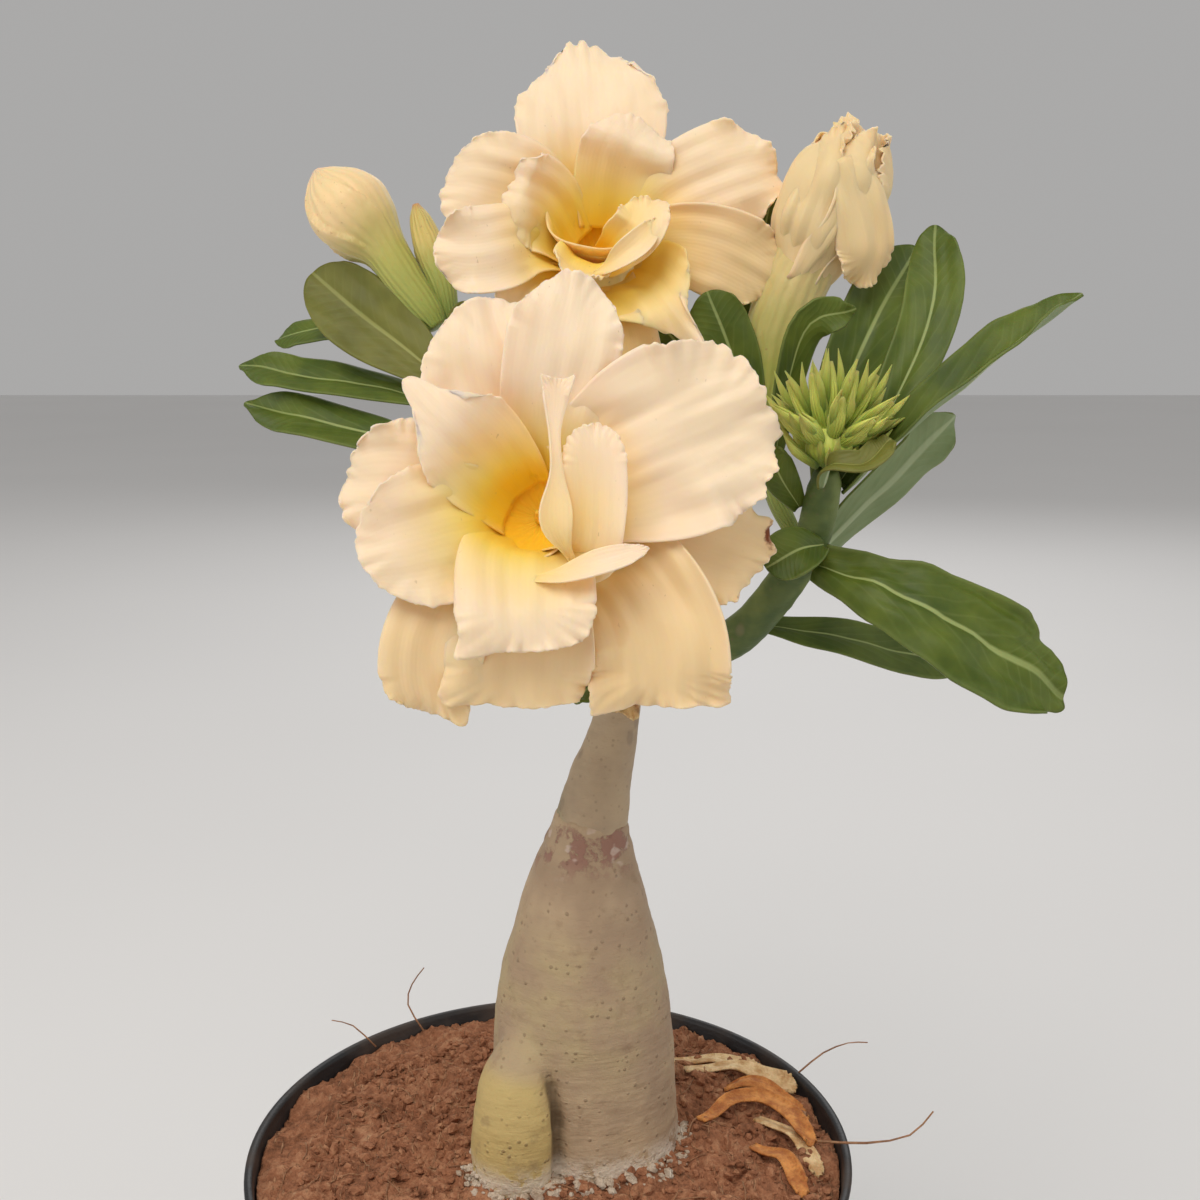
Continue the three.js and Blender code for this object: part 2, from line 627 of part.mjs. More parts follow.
// A withered flower still hangs from the fork in front of the stem.
const WITHERED = {
  line: [[16, -5.8, 224.5], [15.6, -9.5, 221], [14.6, -12, 215.4]],
  half: 4, foot: 1.4, cap: 3, round: 0.4, face: [0, -1, 0.4], cup: 0.16, wave: 0.7,
  point: 1.5, pointAt: 0.6,
};
place("withered_flower", "dry_petal", (grow) => blade(WITHERED, grow));

export default object;
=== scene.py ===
# %% [markdown]
# # A potted desert rose
# A grafted desert rose has a swollen stem that stores water, a thin grafted top that forks, big double
# flowers made of thin ruffled petals, and long leathery leaves. The CAD model gives every place and size.
# Here each piece is grown again in fine detail, from a few drawn lines and widths, and gets its finish.

# %% Load the CAD frame
import math
import random

import bmesh
import bpy
from mathutils import Matrix, Vector, noise


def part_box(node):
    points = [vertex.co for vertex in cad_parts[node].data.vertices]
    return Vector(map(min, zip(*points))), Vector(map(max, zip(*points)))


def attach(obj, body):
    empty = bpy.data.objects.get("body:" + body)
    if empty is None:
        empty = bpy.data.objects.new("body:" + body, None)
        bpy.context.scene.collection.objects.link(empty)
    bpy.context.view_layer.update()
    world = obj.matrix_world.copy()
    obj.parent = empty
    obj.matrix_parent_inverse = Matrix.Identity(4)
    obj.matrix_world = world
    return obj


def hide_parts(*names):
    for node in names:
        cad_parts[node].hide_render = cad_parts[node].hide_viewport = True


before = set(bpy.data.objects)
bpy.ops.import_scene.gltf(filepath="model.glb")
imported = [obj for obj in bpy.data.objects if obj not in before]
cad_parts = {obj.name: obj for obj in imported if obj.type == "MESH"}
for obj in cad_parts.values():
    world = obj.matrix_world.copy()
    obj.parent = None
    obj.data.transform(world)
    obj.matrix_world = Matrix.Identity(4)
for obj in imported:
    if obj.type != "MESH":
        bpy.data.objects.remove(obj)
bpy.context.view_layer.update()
MM = 0.001
made = []

# %% [markdown]
# ## The camera and the studio
# The camera looks slightly down on the flowers from close by. A pale floor, one large soft lamp above
# the front, and three weaker ones at the sides and behind keep the shadows soft, as on a dull day.

# %% Camera, floor and lamps
camera_data = bpy.data.cameras.new("camera")
camera_data.sensor_width = 36
camera_data.lens = 18 / math.tan(math.radians(22.5))
camera = bpy.data.objects.new("camera", camera_data)
camera.location = (0.0109, -0.2845, 0.2959)
camera.rotation_euler = (math.radians(78), 0, 0)
bpy.context.scene.collection.objects.link(camera)
bpy.context.scene.camera = camera
bpy.context.scene.view_settings.view_transform = "Standard"


def lamp(name, place, target, size, watts, colour=(1, 1, 1)):
    data = bpy.data.lights.new(name, "AREA")
    data.size = size
    data.energy = watts
    data.color = colour
    light = bpy.data.objects.new(name, data)
    light.location = place
    light.rotation_euler = (Vector(target) - Vector(place)).to_track_quat("-Z", "Y").to_euler()
    bpy.context.scene.collection.objects.link(light)


lamp("lamp_above", (-0.25, -0.75, 1.25), (0, 0, 0.22), 0.8, 10.2, (1.0, 0.96, 0.91))
lamp("lamp_left", (-1.2, -0.5, 0.5), (0, 0, 0.2), 0.9, 2.8)
lamp("lamp_right", (1.2, -0.4, 0.7), (0, 0, 0.2), 0.9, 3)
lamp("lamp_behind", (0.2, 1.3, 1.0), (0, 0, 0.2), 1.0, 5)
world = bpy.data.worlds.new("studio")
world.use_nodes = True
world.node_tree.nodes["Background"].inputs["Color"].default_value = (0.86, 0.85, 0.84, 1)
world.node_tree.nodes["Background"].inputs["Strength"].default_value = 0.47
bpy.context.scene.world = world
print("camera lens in mm:", round(camera_data.lens, 1), "lamps:", len(bpy.data.lights))

# %% [markdown]
# ## Shader maths as plain sums
# A finish is a small tree of nodes. Writing each node by hand hides the idea, so one class wraps an
# output socket and lets Python's own signs add the Math nodes, and another makes any other node.


# %% Helpers for finishes
class Value:
    """An output socket that can be used in sums."""

    def __init__(self, paint, socket):
        self.paint = paint
        self.socket = socket

    def math(self, operation, first, second=0.0):
        return self.paint.node("Math", {"operation": operation}, {0: first, 1: second})

    def __add__(self, other):
        return self.math("ADD", self, other)

    def __radd__(self, other):
        return self.math("ADD", other, self)

    def __sub__(self, other):
        return self.math("SUBTRACT", self, other)

    def __rsub__(self, other):
        return self.math("SUBTRACT", other, self)

    def __mul__(self, other):
        return self.math("MULTIPLY", self, other)

    def __rmul__(self, other):
        return self.math("MULTIPLY", other, self)

    def __pow__(self, other):
        return self.math("POWER", self, other)

    def __abs__(self):
        return self.math("ABSOLUTE", self)

    def sine(self):
        return self.math("SINE", self)

    def between(self, low, high):
        """0 below low, 1 above high, and smooth between."""
        sockets = {"Value": self, "From Min": low, "From Max": high}
        return self.paint.node("MapRange", {"interpolation_type": "SMOOTHSTEP"}, sockets)


class Paint:
    """A material with one principled shader. Constants are set on the shader's own sockets."""

    def __init__(self, name, **constants):
        self.material = bpy.data.materials.new(name)
        self.material.use_nodes = True
        self.tree = self.material.node_tree
        self.shader = self.tree.nodes["Principled BSDF"]
        for socket, value in constants.items():
            self.shader.inputs[socket.replace("_", " ")].default_value = value

    def node(self, kind, settings=None, sockets=None, out=0):
        node = self.tree.nodes.new("ShaderNode" + kind)
        for setting, value in (settings or {}).items():
            if setting == "stops":
                ramp = node.color_ramp
                while len(ramp.elements) < len(value):
                    ramp.elements.new(1)
                for element, (place, colour) in zip(ramp.elements, value):
                    element.position = place
                    element.color = (*colour, 1)
            else:
                setattr(node, setting, value)
        for socket, value in (sockets or {}).items():
            if isinstance(value, Value):
                self.tree.links.new(value.socket, node.inputs[socket])
            elif isinstance(value, tuple) and len(value) == 3 and node.inputs[socket].type == "RGBA":
                node.inputs[socket].default_value = (*value, 1)
            else:
                node.inputs[socket].default_value = value
        return Value(self, node.outputs[out])

    def place(self):
        return self.node("TexCoord", out="Object")

    def stretched(self, scale, turn=(0, 0, 0)):
        return self.node("Mapping", {}, {"Vector": self.place(), "Scale": scale, "Rotation": turn})

    def grain(self, size, detail=3.0, rough=0.55, at=None):
        """Soft noise whose spots are about size metres across."""
        sockets = {"Vector": at or self.place(), "Scale": 1 / size, "Detail": detail, "Roughness": rough}
        return self.node("TexNoise", {}, sockets)

    def cells(self, size, at=None):
        """Distance from the middle of the nearest of many spots about size metres apart."""
        sockets = {"Vector": at or self.place(), "Scale": 1 / size}
        return self.node("TexVoronoi", {"feature": "F1"}, sockets, "Distance")

    def painted(self, name):
        return self.node("Attribute", {"attribute_name": name}, {}, "Fac")

    def across_along(self):
        """The sheet's own directions: 0 to 1 across it, and 0 to 1 from its foot to its tip."""
        uv = self.node("UVMap", {"uv_map": "sheet"})
        split = self.node("SeparateXYZ", {}, {0: uv})
        return split, Value(self, split.socket.node.outputs[1])

    def height_part(self, axis):
        split = self.node("SeparateXYZ", {}, {0: self.place()})
        return Value(self, split.socket.node.outputs[axis])

    def ramp(self, value, *stops):
        return self.node("ValToRGB", {"stops": stops}, {0: value})

    def mix(self, share, first, second, blend="MIX"):
        settings = {"data_type": "RGBA", "blend_type": blend}
        return self.node("Mix", settings, {0: share, 6: first, 7: second}, 2)

    def bump(self, height, distance, strength=1.0, below=None):
        sockets = {"Height": height, "Distance": distance, "Strength": strength}
        if below is not None:
            sockets["Normal"] = below
        return self.node("Bump", {}, sockets)

    def drive(self, **sockets):
        for socket, value in sockets.items():
            self.tree.links.new(value.socket, self.shader.inputs[socket.replace("_", " ")])
        return self.material


# %% [markdown]
# ## Petal finish
# A petal is cream, turning to egg yellow down in the throat, with a faint pink blush at its margin.
# Fine veins fan out from its foot. They follow the sheet's own map, whose lines spread as the petal
# does. Thin petals let some light through, so a little subsurface scattering softens the shadows.


# %% Petals
def petal_finish(name):
    paint = Paint(name, Subsurface_Weight=0.45, Subsurface_Scale=0.0012, Sheen_Weight=0.05)
    paint.shader.inputs["Subsurface Radius"].default_value = (1.0, 0.6, 0.25)
    across, _ = paint.across_along()
    depth = paint.painted("throat")
    rim = paint.painted("rim")
    patches = paint.grain(0.012, 2)
    base = paint.ramp(
        depth + (patches - 0.5) * 0.1, (0.0, (0.94, 0.55, 0.01)), (0.34, (0.96, 0.6, 0.022)),
        (0.5, (0.96, 0.66, 0.1)), (0.66, (0.96, 0.68, 0.26)), (0.84, (0.96, 0.69, 0.4)),
        (1.0, (0.97, 0.72, 0.52)),
    )
    # The tan is partly the petal's own colour and partly painted shade on the lower petals, which face down
    # away from the lamp.
    base = paint.mix(paint.painted("warm") * 0.8, base, (0.76, 0.52, 0.17))
    wobble = paint.grain(0.004, 3) * 4
    veins = (across * 150 + wobble).sine() * 0.5 + 0.5
    broad = (across * 46 + wobble * 0.8).sine() * 0.5 + 0.5
    base = paint.mix(veins * 0.025 + broad * 0.025, base, (0.72, 0.5, 0.26))
    base = paint.mix((rim ** 4) * 0.3 * patches.between(0.3, 0.6), base, (0.97, 0.74, 0.66))
    fleck = paint.grain(0.0006, 1, at=paint.stretched((1, 1, 0.35))).between(0.73, 0.77)
    fleck = fleck * paint.grain(0.006, 1).between(0.54, 0.62) * 0.35
    base = paint.mix(fleck, base, (0.42, 0.27, 0.13))
    scorched = (paint.painted("scorch") + (paint.grain(0.0015, 3) - 0.5) * 0.7).between(0.45, 0.7)
    base = paint.mix(scorched, base, (0.2, 0.055, 0.015))
    relief = paint.bump(veins * 0.3 + broad * 0.6 + paint.grain(0.0008, 2) * 0.4, 0.00004, 0.8)
    return paint.drive(Base_Color=base, Normal=relief, Roughness=0.5 + patches * 0.14)


PETAL = petal_finish("cream_petal")
print("petal finish:", len(PETAL.node_tree.nodes), "nodes")


# %% [markdown]
# ## Leaf finish
# The upper side is deep green and slightly glossy, with a pale midrib and faint side veins. The
# underside is greyer and duller. Both read the leaf's own map: 0.5 across is the midrib.


# %% Leaves
def leaf_finish(name, dark, light, rib, rough, rib_width=0.04):
    paint = Paint(name, Subsurface_Weight=0.1, Subsurface_Scale=0.001, Specular_IOR_Level=0.3)
    across, along = paint.across_along()
    off = abs(across - 0.5)
    patches = paint.grain(0.009, 3)
    base = paint.mix(patches.between(0.15, 0.85), dark, light)
    slant = (along * 11 - off * 6 + (paint.grain(0.008, 1) - 0.5) * 0.5) * 2 * math.pi
    vein = (slant.sine() * 0.5 + 0.5) ** 14 * (1 - off * 1.7)
    base = paint.mix(vein * 0.09, base, rib)
    middle = 1 - off.between(rib_width * 0.35, rib_width)
    base = paint.mix(middle * (0.95 - along * 0.5), base, rib)
    edge = off.between(0.44, 0.5)
    base = paint.mix(edge * 0.16, base, rib)
    fine = paint.grain(0.0007, 2)
    quilt = (slant.sine() * 0.5 + 0.5) * 0.3 + patches * 0.3 + fine * 0.25
    relief = paint.bump(quilt, 0.00014, 0.8)
    return paint.drive(Base_Color=base, Normal=relief, Roughness=rough + patches * 0.14)


LEAF_TOP = leaf_finish("leaf_upper", (0.045, 0.076, 0.007), (0.12, 0.16, 0.016), (0.36, 0.42, 0.15), 0.45)
LEAF_UNDER = leaf_finish("leaf_under", (0.17, 0.23, 0.09), (0.24, 0.3, 0.14), (0.44, 0.5, 0.3), 0.48, 0.08)
YOUNG_TOP = leaf_finish("young_leaf", (0.11, 0.115, 0.016), (0.18, 0.18, 0.032), (0.32, 0.33, 0.1), 0.46)


# %% [markdown]
# ## Bark finish
# The swollen stem is smooth and dull beige, with a fine brown speckle, faint rings of old leaf scars,
# brown-pink scars round the graft, greener skin on the side root, and a chalky crust at the soil.
# Most of it depends on height, so the finish reads the object's own height as well as noise. The side root
# and the groove beside it are painted on the mesh, because no height marks them; the groove is also
# darkened there with painted shade.


# %% Bark
# Where the soil meets the stem, and where the graft is, in millimetres up.
SOIL_Z, GRAFT_Z = 117, 184


def bark_finish():
    paint = Paint("caudex_bark", Subsurface_Weight=0.05, Subsurface_Scale=0.001)
    height = paint.height_part(2) * 1000
    side = paint.height_part(0) * 1000
    broad = paint.grain(0.016, 3)
    base = paint.mix(broad.between(0.3, 0.7), (0.35, 0.24, 0.15), (0.5, 0.36, 0.22))
    olive = paint.painted("side_root") * (0.6 + broad * 0.4)
    base = paint.mix(olive, base, (0.56, 0.41, 0.14))
    middle = height.between(128, 150) * (1 - height.between(160, 176)) * broad.between(0.35, 0.6)
    base = paint.mix(middle * 0.4, base, (0.36, 0.3, 0.12))
    mauve = side.between(8, 24) * height.between(140, 175) * broad.between(0.35, 0.6)
    base = paint.mix(mauve * 0.5, base, (0.3, 0.2, 0.16))
    # Painted shade: the groove between the trunk and the side root is darkened.
    groove = (paint.painted("groove") * (0.7 + broad * 0.6)).between(0.15, 0.8)
    base = paint.mix(groove * 0.8, base, (0.07, 0.04, 0.02))
    blotch = paint.grain(0.0055, 4, 0.65)
    base = paint.mix(blotch.between(0.56, 0.7) * 0.35, base, (0.24, 0.15, 0.08))
    speck = (1 - paint.cells(0.0017).between(0.1, 0.3)) * paint.grain(0.004, 1).between(0.45, 0.6)
    base = paint.mix(speck * 0.45, base, (0.17, 0.1, 0.05))
    graft = height.between(GRAFT_Z - 6, GRAFT_Z) * (1 - height.between(GRAFT_Z + 4, GRAFT_Z + 7))
    scar = graft * paint.grain(0.0045, 4, 0.6).between(0.48, 0.58)
    base = paint.mix(scar * 0.8, base, (0.27, 0.12, 0.09))
    pale = graft * paint.grain(0.005, 2, at=paint.stretched((1, 1, 1.4))).between(0.6, 0.66)
    base = paint.mix(pale * 0.6, base, (0.62, 0.48, 0.4))
    crust = (1 - height.between(SOIL_Z, SOIL_Z + 6.5)) * paint.grain(0.0035, 4, 0.7).between(0.36, 0.5)
    base = paint.mix(crust * 0.85, base, (0.72, 0.62, 0.5))
    rings = paint.grain(0.003, 3, at=paint.stretched((0.25, 0.25, 1.6)))
    fine = paint.grain(0.0011, 3)
    relief = paint.bump(rings + fine * 0.5 + speck * 0.6 + scar * 0.8 + crust * fine, 0.0005, 0.7)
    return paint.drive(Base_Color=base, Normal=relief, Roughness=0.62 + blotch * 0.2)


def green_bark_finish():
    paint = Paint("green_stem", Subsurface_Weight=0.06, Subsurface_Scale=0.001)
    height = paint.height_part(2) * 1000
    side = abs(paint.height_part(0) * 1000 - 13)
    broad = paint.grain(0.012, 3)
    base = paint.mix(broad.between(0.3, 0.7), (0.35, 0.25, 0.16), (0.46, 0.34, 0.21))
    young = (side.between(7, 16) + height.between(228, 250)).between(0, 1)
    green = paint.mix(broad.between(0.35, 0.65), (0.06, 0.1, 0.02), (0.16, 0.2, 0.05))
    base = paint.mix(young, base, green)
    scars = (1 - paint.cells(0.006, paint.stretched((1, 1, 0.7))).between(0.12, 0.24)) * 0.6
    base = paint.mix(scars * (1 - young * 0.5), base, (0.28, 0.2, 0.13))
    speck = (1 - paint.cells(0.0014).between(0.1, 0.3)) * paint.grain(0.004, 1).between(0.5, 0.62)
    base = paint.mix(speck * 0.35, base, (0.16, 0.11, 0.06))
    rings = paint.grain(0.0025, 3, at=paint.stretched((0.3, 0.3, 1.6)))
    relief = paint.bump(rings + scars * 0.7 + paint.grain(0.001, 2) * 0.4, 0.0005, 0.7)
    return paint.drive(Base_Color=base, Normal=relief, Roughness=0.5 + broad * 0.2)


BARK = bark_finish()
GREEN_BARK = green_bark_finish()


# %% [markdown]
# ## Buds, tubes and dry pieces
# A flower's tube and its buds run from green at the foot to yellow and cream at the tip. A value painted
# along the tube gives that, and one painted round it gives the lengthwise streaks. Dry pieces have
# no such order, so plain noise is enough for them.


# %% Tubes and buds
def bud_finish(name, foot, middle, tip, blush):
    paint = Paint(name, Subsurface_Weight=0.25, Subsurface_Scale=0.0015, Sheen_Weight=0.1)
    along = paint.painted("along")
    patches = paint.grain(0.006, 3)
    base = paint.ramp(
        along + (patches - 0.5) * 0.14, (0.0, foot), (0.42, middle), (0.7, tip), (0.93, tip), (1.0, blush),
    )
    streak = (paint.painted("round") * 60 + paint.grain(0.005, 2) * 4).sine() * 0.5 + 0.5
    base = paint.mix(streak * 0.06, base, foot)
    fleck = paint.grain(0.0009, 2).between(0.66, 0.74) * paint.grain(0.006, 1).between(0.5, 0.62)
    base = paint.mix(fleck * 0.5, base, (0.36, 0.2, 0.08))
    inside = paint.painted("inside")
    base = paint.mix(inside, base, (0.93, 0.58, 0.02))
    spot = paint.painted("scorch")
    base = paint.mix(spot.between(0.3, 0.7), base, (0.25, 0.1, 0.03))
    relief = paint.bump(streak + patches + paint.grain(0.0008, 2) * 0.4, 0.0002, 0.8)
    return paint.drive(Base_Color=base, Normal=relief, Roughness=0.48 + patches * 0.16)


TUBE = bud_finish("yellow_tube", (0.24, 0.3, 0.05), (0.52, 0.47, 0.1), (0.84, 0.6, 0.18), (0.95, 0.66, 0.3))
BUD = bud_finish("large_bud", (0.26, 0.33, 0.06), (0.5, 0.48, 0.12), (0.9, 0.66, 0.34), (0.9, 0.56, 0.42))
YOUNG_BUD = bud_finish(
    "young_bud", (0.2, 0.31, 0.04), (0.48, 0.56, 0.08), (0.68, 0.7, 0.14), (0.72, 0.68, 0.18),
)
SMALL_BUD_FINISH = bud_finish(
    "small_bud", (0.22, 0.3, 0.06), (0.4, 0.42, 0.1), (0.66, 0.52, 0.16), (0.7, 0.36, 0.14),
)
SPENT = bud_finish(
    "spent_bloom", (0.2, 0.26, 0.04), (0.38, 0.39, 0.08), (0.74, 0.57, 0.26), (0.86, 0.58, 0.4),
)


# %% Dry petal, husk, fibre
def dry_finish(name, dark, light, size):
    paint = Paint(name, Subsurface_Weight=0.1, Subsurface_Scale=0.001)
    streak = paint.grain(size, 4, 0.65)
    base = paint.mix(streak.between(0.3, 0.68), dark, light)
    base = paint.mix(paint.grain(size * 0.3, 3).between(0.55, 0.72) * 0.5, base, dark)
    relief = paint.bump(streak + paint.grain(0.0005, 3) * 0.5, 0.0006, 0.9)
    return paint.drive(Base_Color=base, Normal=relief, Roughness=0.7 + streak * 0.2)


DRY_PETAL = dry_finish("dry_petal", (0.3, 0.11, 0.03), (0.85, 0.6, 0.28), 0.004)
HUSK_PALE = dry_finish("pale_husk", (0.5, 0.27, 0.1), (0.85, 0.64, 0.36), 0.004)
HUSK_ORANGE = dry_finish("orange_husk", (0.34, 0.1, 0.02), (0.7, 0.3, 0.08), 0.004)
FIBRE = dry_finish("coir_fibre", (0.2, 0.09, 0.04), (0.42, 0.22, 0.11), 0.003)
STAMEN = dry_finish("stamen", (0.86, 0.5, 0.03), (0.94, 0.68, 0.12), 0.002)


# %% [markdown]
# ## Coir soil and plastic pot
# The mix is crumbly coir and peat: red-brown, darkened in its pits as painted shade and paler on its bumps.
# The pot is thin moulded black plastic, a little scuffed, with soil dust below its rim.


# %% Soil and pot
def soil_finish(name, dark, middle, light):
    paint = Paint(name, Specular_IOR_Level=0.15)
    clumps = paint.grain(0.009, 5, 0.65)
    crumbs = paint.grain(0.0022, 5, 0.7)
    # Low spots of the noise that also raises the bumps get the dark colour, as painted shade in the pits,
    # and high spots get the pale one.
    base = paint.ramp(crumbs * 0.6 + clumps * 0.4, (0.3, dark), (0.5, middle), (0.72, light))
    thread = paint.grain(0.003, 2, at=paint.stretched((3.2, 0.5, 1), (0, 0, 0.6))).between(0.62, 0.7)
    base = paint.mix(thread * 0.5, base, light)
    chips = (1 - paint.cells(0.0025).between(0.1, 0.3)) * clumps.between(0.5, 0.65)
    base = paint.mix(chips * 0.5, base, (0.6, 0.4, 0.24))
    relief = paint.bump(crumbs + clumps + thread * 0.3, 0.0016, 1.0)
    return paint.drive(Base_Color=base, Normal=relief, Roughness=0.86 + crumbs * 0.12)


def pot_finish():
    paint = Paint("pot_plastic", Specular_IOR_Level=0.45)
    height = paint.height_part(2) * 1000
    cloud = paint.grain(0.02, 4)
    scuff = paint.grain(0.0016, 3, at=paint.stretched((0.25, 0.25, 2.2))).between(0.6, 0.72)
    dust = (height.between(99, 113) * 0.5 + (1 - height.between(0, 12)) * 0.4) * cloud.between(0.42, 0.66)
    base = paint.mix(scuff * 0.35, (0.011, 0.011, 0.012), (0.045, 0.044, 0.043))
    base = paint.mix(dust * 0.55, base, (0.16, 0.1, 0.065))
    relief = paint.bump(paint.grain(0.0006, 2) + cloud * 0.6, 0.00012, 0.7)
    return paint.drive(Base_Color=base, Normal=relief, Roughness=0.42 + scuff * 0.2 + dust * 0.4)


SOIL = soil_finish("coir_soil", (0.1, 0.04, 0.02), (0.38, 0.16, 0.082), (0.65, 0.36, 0.2))
CRUST = soil_finish("chalky_crust", (0.36, 0.24, 0.16), (0.62, 0.5, 0.38), (0.82, 0.72, 0.6))
POT = pot_finish()
print("finishes made:", len(bpy.data.materials))

# %% [markdown]
# ## Lines, sheets and limbs
# Two kinds of shape make the whole plant. A sheet, for petals and leaves, starts as a flat grid whose
# points are carried onto a bent, cupped and ruffled surface. A limb, for stems, tubes and buds, starts
# as a circle that is extruded from section to section.


# %% A smooth line through a few points
def step_between(a, b, c, d, t):
    """The value t of the way from b to c on a smooth curve that comes from a and goes on to d."""
    slope, bend, twist = c - a, 2 * a - 5 * b + 4 * c - d, 3 * b - a - 3 * c + d
    return 0.5 * (2 * b + slope * t + bend * t * t + twist * t ** 3)


def smooth_line(points, steps=24):
    """Points and their distances along a smooth line through the given ones, of any number of values."""
    ends = [[2 * a - b for a, b in zip(points[0], points[1])], *map(list, points)]
    ends.append([2 * a - b for a, b in zip(points[-1], points[-2])])
    dense = []
    for p, q, r, s in zip(ends, ends[1:], ends[2:], ends[3:]):
        for k in range(steps):
            t = k / steps
            dense.append([step_between(*four, t) for four in zip(p, q, r, s)])
    dense.append(list(points[-1]))
    run = [0.0]
    for a, b in zip(dense, dense[1:]):
        run.append(run[-1] + math.dist(a[:3], b[:3]))
    return dense, run


class Line:
    """A smooth centre line that gives the place and direction at a distance along it."""

    def __init__(self, points):
        self.dense, self.run = smooth_line(points)
        self.length = self.run[-1]
        self.at = 0

    def place(self, y):
        inside = min(max(y, 0), self.length)
        while self.at > 0 and self.run[self.at] > inside:
            self.at -= 1
        while self.at < len(self.run) - 2 and self.run[self.at + 1] < inside:
            self.at += 1
        a, b = Vector(self.dense[self.at]), Vector(self.dense[self.at + 1])
        span = self.run[self.at + 1] - self.run[self.at]
        share = (inside - self.run[self.at]) / span
        after = Vector(self.dense[min(self.at + 2, len(self.dense) - 1)])
        before = Vector(self.dense[max(self.at - 1, 0)])
        way = ((b - before).lerp(after - a, share)).normalized()
        return a.lerp(b, share) + way * (y - inside), way


# %% Put a finished mesh into the scene
def settle(name, bm, finishes, nodes=(), smooth=True):
    """Turns millimetres to metres, makes the object and ties it to the CAD frame."""
    bmesh.ops.scale(bm, vec=(MM, MM, MM), verts=bm.verts)
    mesh = bpy.data.meshes.new(name)
    bm.to_mesh(mesh)
    bm.free()
    for finish in finishes:
        mesh.materials.append(finish)
    mesh.polygons.foreach_set("use_smooth", [smooth] * len(mesh.polygons))
    piece = bpy.data.objects.new(name, mesh)
    bpy.context.scene.collection.objects.link(piece)
    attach(piece, "root")
    if nodes:
        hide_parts(*nodes)
    made.append(name)
    return piece


PETAL_THICKNESS, LEAF_THICKNESS, HUSK_THICKNESS, SEPAL_THICKNESS = 0.35, 0.5, 0.6, 0.4


def thicken(piece, thickness, under=0):
    """Gives a sheet its thickness. under is 1 if its back has the second finish."""
    shell = piece.modifiers.new("thickness", "SOLIDIFY")
    shell.thickness = thickness * MM
    shell.offset = 0
    shell.material_offset = under


# %% [markdown]
# ## One function for every petal and leaf
# The grid's points run from -1 to 1 both ways. Below 0 they fill a strip that widens from the foot,
# and above 0 a rounded end. Each point is then carried along the centre line, bent across it for the
# cup, and lifted by waves that grow towards the margin.


# %% A bent sheet
SHEET_PAINTS = ("throat", "rim", "scorch", "warm")


